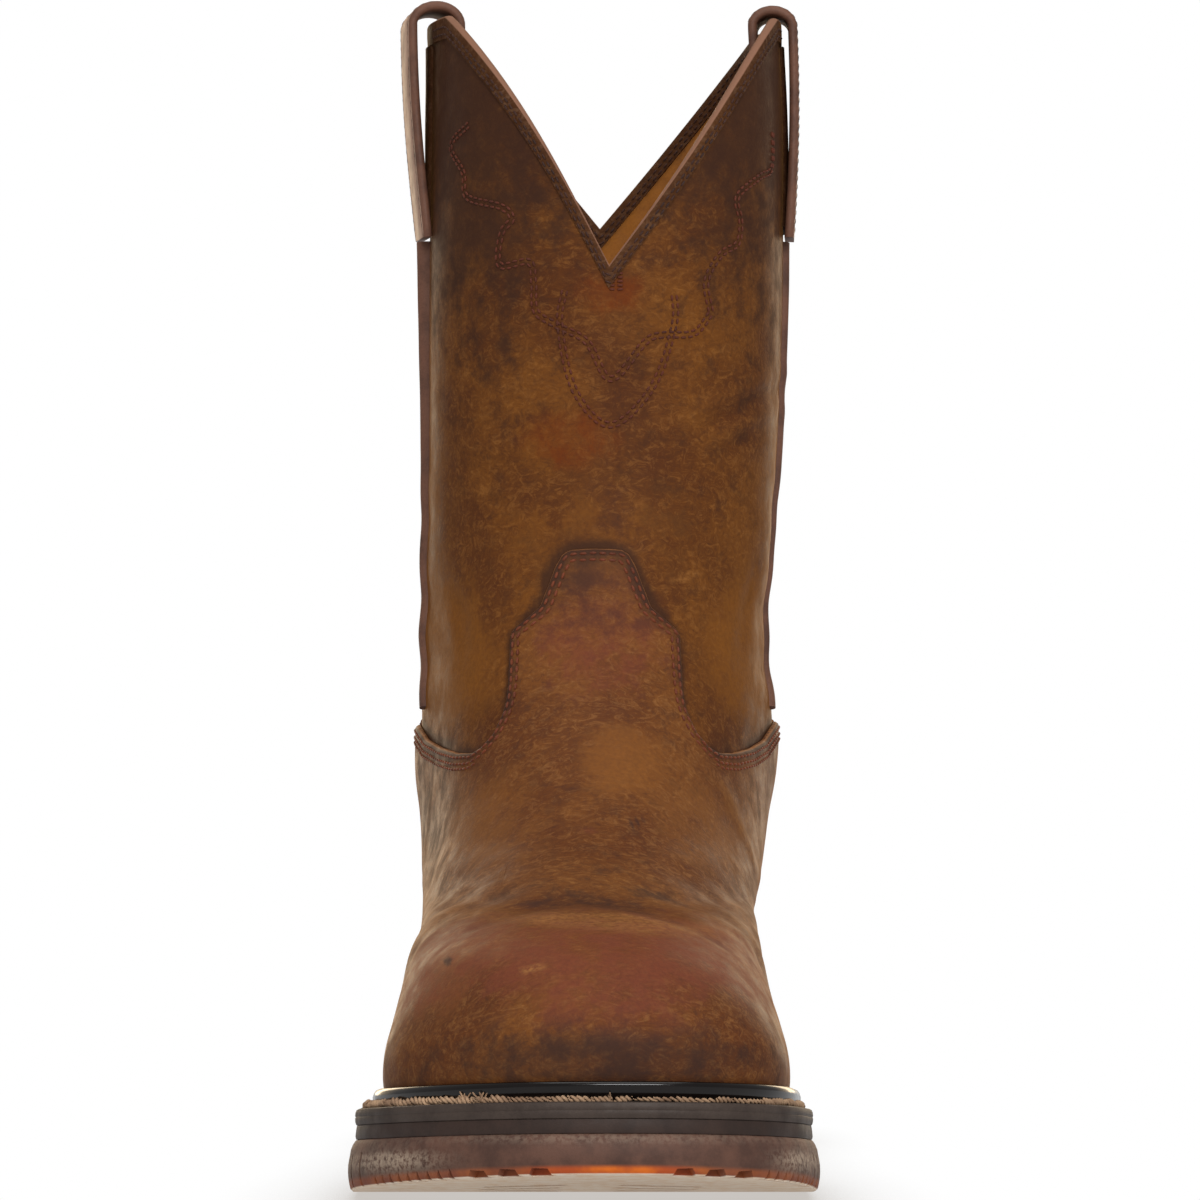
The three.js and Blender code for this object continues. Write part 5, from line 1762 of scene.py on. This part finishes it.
# A strap's section, with a stitched channel near each edge.
STRAP_SECTION = (
    (-1, 0.0), (-0.985, 0.55), (-0.93, 0.94), (-0.86, 1), (-0.84, 0.82), (-0.8, 0.82), (-0.78, 1),
    (0, 1), (0.78, 1), (0.8, 0.82), (0.84, 0.82), (0.86, 1), (0.93, 0.94), (0.985, 0.55), (1, 0),
    (0.985, -0.55), (0.93, -0.94), (0, -1), (-0.93, -0.94), (-0.985, -0.55),
)
# The shaft's girth, over which a width in mm becomes a share of the way round.
SHAFT_ROUND = math.pi * 100
SUNK = 0.3
# Heights of the piping's two ends and of the seam cover's top, and how far the piping stands out low.
PIPING_LOW = 120.4
PIPING_TOP = 249
COVER_TOP = 303
PIPING_RISE = 1.2
# Heights of a strap's outer and inner ends.
STRAP_FOOT = 250
STRAP_INNER_FOOT = 266
# Each side's way round, height of its piping, and its loop's bow, rise and turn.
SIDE_TRIM = (("lateral", 0.24, 3.4, 3.7, 6.1, 0.09), ("medial", 0.755, 1.5, 1.6, 5, 0.0))


@dataclass
class Trim:
    """Collar binding, side piping and pull straps.

    Attributes:
        form: The form that they follow.
        depth: How far the binding reaches down from the edge.
        thick: Its thickness.
        fold: The room that the straps leave for it.
        strap_wide: A strap's width.
        strap_thick: A strap's thickness, two layers.
    """

    form: Form
    depth: float = 5.5
    thick: float = 0.6
    fold: float = 0.9
    strap_wide: float = 25
    strap_thick: float = 2.6

    def binding(self, palette: Palette) -> None:
        """A strip folded over the collar's edge, rounded where it turns."""
        around = np.linspace(0, 1, 481)
        low, top = self.form.collar(around, self.depth), self.form.collar(around)
        middle = self.form.collar(around, self.depth * 0.45)
        out = 0.15 + self.thick
        outside = ((low, 0.1), (low, out * 0.8), (middle, out), (top, out * 0.96))
        rows = [self.form.face(around, level, rise) for level, rise in outside]
        edge = self.form.face(around, top, -EDGE_WALL / 2)
        wide = EDGE_WALL / 2 + out * 0.96
        side = self.form.face(around, top, 0) - self.form.face(around, top, -1)
        for turn in np.linspace(0, np.pi, 7)[1:-1]:
            ring = edge + side * wide * math.cos(turn)
            ring[:, 2] += out * 1.05 * math.sin(turn)
            rows.append(ring)
        rows += [self.form.face(around, level, -EDGE_WALL - rise) for level, rise in outside[::-1]]
        for skin in (-EDGE_WALL - 0.1, 0.1):
            ring = self.form.face(around, top, skin)
            ring[:, 2] += GAP * 0.5
            rows.append(ring)
        pale = (0, 0, 0, 0.35, 0.9, 1, 1, 0.8, 0.5, 0.2, 0, 0, 0, 0, 0)
        piece = Loft.ring("binding_leather", np.stack(rows), palette.binding, 70, pale)
        Shop.place(piece, "trim_leather", "collar_binding")

    def strip(self, around: float, levels: Array, half: float, rise: Array | float) -> Array:
        """The sections of a strip along a side seam, its base sunk into the shaft's face.

        Args:
            around: Its way round.
            levels: Its levels from the lower end up.
            half: Half its width in mm.
            rise: How far it stands out.

        Returns:
            Its points by level and place in the section.
        """
        across, share = np.array(STRIP_SECTION).T
        ways, level = np.broadcast_arrays(around + across * half / SHAFT_ROUND, levels[:, None])
        return self.form.face(ways, level, share * rise - SUNK)

    def piping(self, palette: Palette, name: str, around: float, height: float) -> None:
        """Piping over a side seam, and the flat cover that goes on under the strap.

        Args:
            palette: The materials.
            name: The CAD node that it stands for.
            around: Its way round.
            height: How far it stands out at its top.
        """
        spot = np.array([around])
        low, high, top = (self.form.level_of(spot, z)[0] for z in (PIPING_LOW, PIPING_TOP, COVER_TOP))
        rise = PIPING_RISE + (height - PIPING_RISE) * np.linspace(0, 1, 90)[:, None] ** 2
        points = self.strip(around, np.linspace(low, high, 90), 1.7, rise + GAP + SUNK)
        piece = Loft.bar(name.replace("side_", "side_seam_"), points, palette.strap)
        Shop.place(piece, "trim_leather", name)
        points = self.strip(around, np.linspace(high + 0.1, top, 60), 5.5, 1.7)
        cover = Loft.bar(name.replace("side_piping", "seam_cover"), points, palette.binding)
        Shop.place(cover, "trim_leather")

    def path(self, around: float, bow: float, rise: float) -> tuple[Array, Array]:
        """The middle line of a strap, up the outside and down the inside.

        Args:
            around: Its way round.
            bow: How far its loop stands off the shaft.
            rise: How far its loop stands above the collar.

        Returns:
            The line, and the direction of the strap's width.
        """
        form, thick = self.form, self.strap_thick
        clear = GAP + thick / 2
        inside = -WALL - clear - self.fold - 2.1
        spot = np.array([around])
        there = form.point(spot, TOP - 1)
        collar = form.collar_height(there, spot, np.array([TOP - 1.0]))[0]
        edge = collar - 0.5

        def at(height: float, out: float) -> Array:
            """A point at a height, out from the shaft."""
            return form.face(spot, form.level_of(spot, height), out, bare=True)[0]

        legs = [
            at(
                STRAP_FOOT + (edge - STRAP_FOOT) * s,
                clear + bow * math.sin(math.pi / 2 * s) + s * self.fold,
            )
            for s in np.linspace(0, 1, 8)
        ]
        inner = [at(edge + (STRAP_INNER_FOOT - edge) * s, inside) for s in np.linspace(0, 1, 5)]
        middle = (legs[-1] + inner[0]) / 2
        radius = np.linalg.norm(legs[-1] - inner[0]) / 2
        across = unit(legs[-1] - middle)
        crown = collar + rise - thick / 2 - middle[2]
        arc = []
        for turn in np.linspace(0, np.pi, 13)[1:-1]:
            p = middle + across * radius * math.cos(turn)
            p[2] = middle[2] + crown * math.sin(turn)
            arc.append(p)
        side = form.point(spot + 0.004, TOP - 2)[0] - form.point(spot - 0.004, TOP - 2)[0]
        side[2] = 0
        return smooth_line(np.array([*legs, *arc, *inner]), 110), unit(side)

    def strap(
        self, palette: Palette, name: str, around: float, bow: float, rise: float, turn: float
    ) -> tuple[Array, Array]:
        """A pull strap.

        Args:
            palette: The materials.
            name: The CAD node that it stands for.
            around: Its way round.
            bow: How far its loop stands off the shaft.
            rise: How far its loop stands above the collar.
            turn: How far it is turned so that its outer face shows from the front.

        Returns:
            Its middle line and its width's direction, for its stitches.
        """
        path, side = self.path(around, bow, rise)
        out = np.sign(path[0, 0])
        side = side * np.sign(side[1])
        side = side * math.cos(turn) + np.array([out, 0, 0]) * math.sin(turn)
        along = unit(np.gradient(path, axis=0))
        square = unit(np.cross(along, side))
        half, thick = self.strap_wide / 2, self.strap_thick / 2
        profile = np.array(STRAP_SECTION)
        wide = half * np.ones(len(path))
        wide[:3] -= (0.5, 0.25, 0.1)
        points = (
            path[:, None]
            + side * (profile[None, :, :1] * wide[:, None, None])
            + square[:, None] * profile[None, :, 1:] * thick
        )
        piece = Loft.bar(name.replace("pull_strap", "strap_leather"), points, palette.strap, 50)
        # The outer face takes a paler copy of the strap leather: a painted highlight of the rim light.
        piece.data.materials.append(palette.strap_face)
        for face in piece.data.polygons:
            if face.normal.x * out > 0.8 and face.center.x * out > abs(path[0, 0]) * MM:
                face.material_index = 1
        Shop.place(piece, "trim_leather", name)
        return path, side

    def make(self, palette: Palette, sewing: "Sewing") -> None:
        """Builds the trim and sews the straps."""
        self.binding(palette)
        for name, around, height, *_ in SIDE_TRIM:
            self.piping(palette, f"side_piping_{name}", around, height)
        for name, around, _, *loop in SIDE_TRIM:
            path, side = self.strap(palette, f"pull_strap_{name}", around, *loop)
            square = unit(np.cross(unit(np.gradient(path, axis=0)), side))
            if np.mean(square[:8, 0] * path[:8, 0]) < 0:
                square = -square
            for edge in (-1, 1):
                line = path + side * edge * self.strap_wide / 2 * 0.82
                line = line + square * self.strap_thick / 2 * 0.85
                sewing.row("strap_stitches", line[2:70], square[2:70], STRAP_STITCH)


@dataclass(frozen=True)
class Stitch:
    """The stitches of a row, in mm.

    Attributes:
        pitch: From one stitch to the next.
        length: A stitch's length.
        radius: Its radius.
        wild: How uneven they are, as a share of their size.
    """

    pitch: float
    length: float
    radius: float
    wild: float = 0


DRAWN_STITCH = Stitch(2.1, 1.554, 0.36)
BAR_STITCH = Stitch(2.2, 1.628, 0.36)
COLLAR_STITCH = Stitch(2.4, 1.8, 0.3)
# The dark hole under each stitch of an overlay's top line, and the thread in it.
HOLE = Stitch(2.6, 1.2, 0.36)
TOP_STITCH = Stitch(2.6, 1.9, 0.42)
WING_STITCH = Stitch(2.4, 1.8, 0.38)
SIDE_STITCH = Stitch(2.6, 1.9, 0.4)
STRAP_STITCH = Stitch(2.4, 1.7, 0.3)
WELT_STITCH = Stitch(5.0, 6.2, 1.15, 0.12)
LOOSE_THREAD = Stitch(1.2, 1.7, 0.24)


@dataclass
class Sewing:
    """Collects stitches by thread and makes them into joined pieces.

    Attributes:
        form: The form that rows are sewn on.
        rows: The stitches so far: middle, direction, normal, length and radius.
    """

    form: Form
    rows: dict[str, list[Array]] = field(default_factory=dict)

    def row(self, thread: str, line: Array, normals: Array, stitch: Stitch) -> None:
        """Sews one row.

        Args:
            thread: The name of the piece that the stitches go to.
            line: Points along the row, in mm.
            normals: The way out of the leather at each point.
            stitch: The size of its stitches.
        """
        count = max(2, int(walk(line)[-1] / stitch.pitch))
        fine = spread(np.hstack([line, normals]), 2 * count + 1)
        middle, normal = fine[1::2, :3], unit(fine[1::2, 3:])
        along = unit(fine[2::2, :3] - fine[:-2:2, :3])
        size = np.tile((stitch.length, stitch.radius), (len(middle), 1))
        wild = stitch.wild
        if wild:
            random = np.random.default_rng(SEED)
            size = size * random.normal(1, wild, size.shape)
            middle = middle + normal * random.normal(0, wild * stitch.radius, (len(middle), 1))
            along = unit(along + random.normal(0, wild * 0.6, along.shape))
        self.rows.setdefault(thread, []).append(np.hstack([middle, along, normal, size]))

    def on_form(self, around: Array, level: Array, out: float) -> tuple[Array, Array]:
        """A line on the worn face and its normals."""
        return self.form.face(around, level, out), self.form.normal(around, level)

    def drawn_row(
        self, view: View, marks: Sequence[Point], aside: Sequence[float], out: float, stitch: Stitch
    ) -> None:
        """Sews rows of the decoration along a drawn line.

        Args:
            view: The side that the line is drawn from.
            marks: Its points.
            aside: How far each row lies from the line, in mm.
            out: How far out of the shaft's face the stitches lie.
            stitch: The size of its stitches.
        """
        marks = smooth_line(np.array(marks), 12 * len(marks))
        around, level = self.form.find(view, marks)
        line, normal = self.on_form(around, level, out)
        side = unit(np.cross(normal, np.gradient(line, axis=0)))
        for off in aside:
            self.row("decoration_stitches", line + side * off, normal, stitch)

    @staticmethod
    def stitch(twist: bool) -> tuple[Array, list[tuple[int, ...]]]:
        """One stitch, from -1 to 1 along x.

        Args:
            twist: Whether it shows three twisted strands.

        Returns:
            Its points and its faces.
        """
        segments, rings = (5, 16) if twist else (6, 6)
        bpy.ops.mesh.primitive_uv_sphere_add(segments=segments, ring_count=rings, radius=1)
        base = bpy.context.object
        ball = np.array([v.co for v in base.data.vertices])
        faces = [tuple(p.vertices) for p in base.data.polygons]
        bpy.data.objects.remove(base, do_unlink=True)
        squared = np.sign(ball[:, 2]) * np.abs(ball[:, 2]) ** 0.8
        if not twist:
            return np.column_stack([squared, ball[:, 0], ball[:, 1]]), faces
        strands = []
        for phase in (0, 2.1, 4.2):
            spin = phase + squared * 4.2
            across = (ball[:, 0] * 0.5 + 0.5 * np.cos(spin), ball[:, 1] * 0.5 + 0.5 * np.sin(spin))
            strands.append(np.column_stack([squared, *across]))
        return np.vstack(strands), Sewing.repeated(faces, len(ball), len(strands))

    @staticmethod
    def repeated(faces: Sequence[tuple[int, ...]], points: int, count: int) -> list[tuple[int, ...]]:
        """The faces of a count of copies that have so many points each."""
        return [tuple(i + n * points for i in face) for n in range(count) for face in faces]

    def make(self, name: str, material: Material, slot: str, twist: bool = False) -> None:
        """Turns one thread's stitches into a piece.

        Args:
            name: The thread's name, which the piece gets.
            material: The thread.
            slot: The slot of the leather that it is sewn to.
            twist: Whether each stitch shows three twisted strands.
        """
        data = np.vstack(self.rows[name])[:, None]
        shape, faces = self.stitch(twist)
        middle, along, normal = data[..., 0:3], data[..., 3:6], data[..., 6:9]
        length, radius = data[..., 9:10], data[..., 10:11]
        side = np.cross(normal, along)
        points = middle + along * shape[None, :, :1] * length / 2
        points = points + side * shape[None, :, 1:2] * radius + normal * shape[None, :, 2:3] * radius
        mesh = bpy.data.meshes.new(name)
        joined = self.repeated(faces, len(shape), len(data))
        mesh.from_pydata((points.reshape(-1, 3) * MM).tolist(), [], joined)
        mesh.materials.append(material)
        mesh.update()
        piece = bpy.data.objects.new(name, mesh)
        bpy.context.scene.collection.objects.link(piece)
        Shop.pick([piece])
        bpy.ops.object.mode_set(mode="EDIT")
        bpy.ops.mesh.select_all(action="SELECT")
        bpy.ops.mesh.normals_make_consistent(inside=False)
        bpy.ops.object.mode_set(mode="OBJECT")
        bpy.ops.object.shade_smooth()
        Shop.place(piece, slot)


# The decoration of the shaft's front, in picture points: a bowl and a deep V with stepped wings.
FRONT_ROWS = (
    ((565, 289), (560, 325), (575, 391), (611, 425), (653, 386), (674, 325), (674, 294)),
    (
        (534, 284), (536, 311), (556, 325), (587, 342), (611, 379),
        (645, 342), (662, 335), (694, 333), (711, 313),
    ),
    (
        (534, 284), (529, 262), (500, 265), (502, 233), (512, 219),
        (502, 207), (468, 197), (464, 173), (451, 146), (470, 124),
    ),
    (
        (711, 313), (706, 282), (720, 255), (737, 243), (740, 221),
        (737, 197), (759, 177), (771, 168), (772, 131),
    ),
)
# How the front's drawing is laid on the back: its middle, its scale at the shaft and its lift.
FRONT_MIDDLE = (606, 600)
PX_PER_MM = 3.73
BACK_RISE = 14
# The short bars under the front dip.
BAR_ROWS = (273, 277, 281, 285, 289)
# The parts of the collar that the straps leave free, as ways round.
COLLAR_PARTS = ((-0.215, 0.215), (0.285, 0.715))
# Beyond this distance from the vamp's middle its top line is a wing, which gets a third row.
WING_FROM = 31.0
# Where loose ends of the welt's thread stand up.
TUFTS = (-33, -27, 3)


def sew_decoration(sewing: Sewing) -> None:
    """Sews the double rows of the shaft's front, and the same at its back."""
    for marks in FRONT_ROWS:
        sewing.drawn_row(View.FRONT, marks, (-0.7, 0.7), 0.13, DRAWN_STITCH)
        across, down = FRONT_MIDDLE
        behind = [
            ((x - across) / PX_PER_MM, LENS.z - (y - down) / PX_PER_MM + BACK_RISE) for x, y in marks
        ]
        sewing.drawn_row(View.BACK, behind, (-0.7, 0.7), 0.13, DRAWN_STITCH)
    for y in BAR_ROWS:
        marks = ((608, y), (616, y + 0.5), (624, y))
        sewing.drawn_row(View.FRONT, marks, (0,), 0.2, BAR_STITCH)


def sew_collar(sewing: Sewing) -> None:
    """Sews two rows under the collar's edge, outside and inside."""
    for below in (2.3, 4.3):
        for part in COLLAR_PARTS:
            way = np.linspace(*part, 700) % 1
            for out in (0.8, -EDGE_WALL - 0.8):
                line, normal = sewing.on_form(way, sewing.form.collar(way, below), out)
                sewing.row("seam_stitches", line, normal * np.sign(out), COLLAR_STITCH)


def sew_overlays(sewing: Sewing, vamp: Overlay, counter: Overlay) -> None:
    """Sews the top lines of the overlays, and the side seams.

    Args:
        sewing: What collects the stitches.
        vamp: The vamp.
        counter: The counter.
    """
    for overlay, middle in ((vamp, WING_FROM), (counter, math.inf)):
        ways, levels = overlay.top()
        line, normal = sewing.on_form(ways, levels, overlay.FACE)
        side = unit(np.cross(normal, np.gradient(line, axis=0)))
        side *= -np.sign(np.mean(side[:, 2]))
        for inside in (1.5, 3.3):
            seat = line + side * inside
            sewing.row("seam_stitches", seat, normal, HOLE)
            sewing.row("rust_stitches", seat[1:], normal[1:], TOP_STITCH)
        wing = np.abs(line[:, 0] - VAMP_MIDDLE) > middle
        for part in (wing & (line[:, 0] > 0), wing & (line[:, 0] < 0)):
            if part.any():
                seat = line + side * 4.7
                sewing.row("rust_stitches", seat[part], normal[part], WING_STITCH)
    levels = np.linspace(0.8, 11, 60)
    for start in counter.span:
        line, normal = sewing.on_form(counter.ends(levels, start), levels, counter.FACE)
        keep = line[:, 2] < SEAM_TOP - 4
        for back in (1.8, 3.6, -2.0):
            seat = line + np.array([0, back, 0])
            sewing.row("seam_stitches", seat[keep], normal[keep], SIDE_STITCH)


def sew_welt(sewing: Sewing, bottom: Bottom) -> None:
    """Sews the welt with coarse thread, whose loose ends stand up in places.

    Args:
        sewing: What collects the stitches.
        bottom: The bottom, for the welt's line.
    """
    line = bottom.line(bottom.welt_margin - 2.7, lambda y: GROUND.welt_top(y) + 0.8)
    up = np.tile((0.0, 0.0, 1.0), (len(line), 1))
    sewing.row("welt_stitches", line, up, WELT_STITCH)
    random = np.random.default_rng(SEED + 1)
    for x in TUFTS:
        near = line[np.argmin(np.abs(line[:, 0] - x) + 0.2 * (line[:, 1] + 250))]
        for _ in range(9):
            foot = near + random.normal(0, 0.9, 3) * (1, 0.5, 0)
            tip = foot + (random.normal(0, 1.3), random.normal(-0.4, 0.5), random.uniform(0.8, 2.0))
            thread = np.linspace(foot, tip, 5)
            sewing.row("welt_stitches", thread, np.tile((0.0, -1.0, 0.1), (5, 1)), LOOSE_THREAD)


def main() -> None:
    """Builds every piece, the room and the camera."""
    logging.basicConfig(level=logging.INFO, format="%(name)s %(message)s", stream=sys.stdout)
    form = FORM
    wear = Wear(form)
    wear.fill(CREASES, PATCHES)
    vamp = Overlay(form, "vamp_overlay", "vamp", (-0.242, 0.242), vamp_height, 0, 290, 84)
    counter = Overlay(form, "counter_overlay", "counter", (0.258, 0.742), counter_height, GAP, 140, 64)
    # Painted shade along the overlays' top lines.
    for overlay in (vamp, counter):
        wear.shade(spread(form.point(*overlay.top()), 1200), *SEAM_SHADE)
    palette = Palette()
    Upper(form).make(palette)
    vamp.make(palette.vamp, "vamp_leather")
    counter.make(palette.shaft, "shaft_leather")
    bottom = Bottom(form)
    bottom.make(palette)
    sewing = Sewing(form)
    Trim(form).make(palette, sewing)
    sew_decoration(sewing)
    sew_collar(sewing)
    sew_overlays(sewing, vamp, counter)
    sew_welt(sewing, bottom)
    sewing.make("decoration_stitches", palette.faded_thread, "shaft_leather")
    sewing.make("rust_stitches", palette.rust_thread, "vamp_leather")
    sewing.make("seam_stitches", palette.dark_thread, "shaft_leather")
    sewing.make("strap_stitches", palette.dark_thread, "trim_leather")
    sewing.make("welt_stitches", palette.tan_thread, "welt_rubber", twist=True)
    studio()
    LENS.add()


FORM = Form()
VAMP_MIDDLE = float(FORM.point(np.array([0.0]), np.array([float(ANKLE)]))[0, 0])

if __name__ == "__main__":
    main()
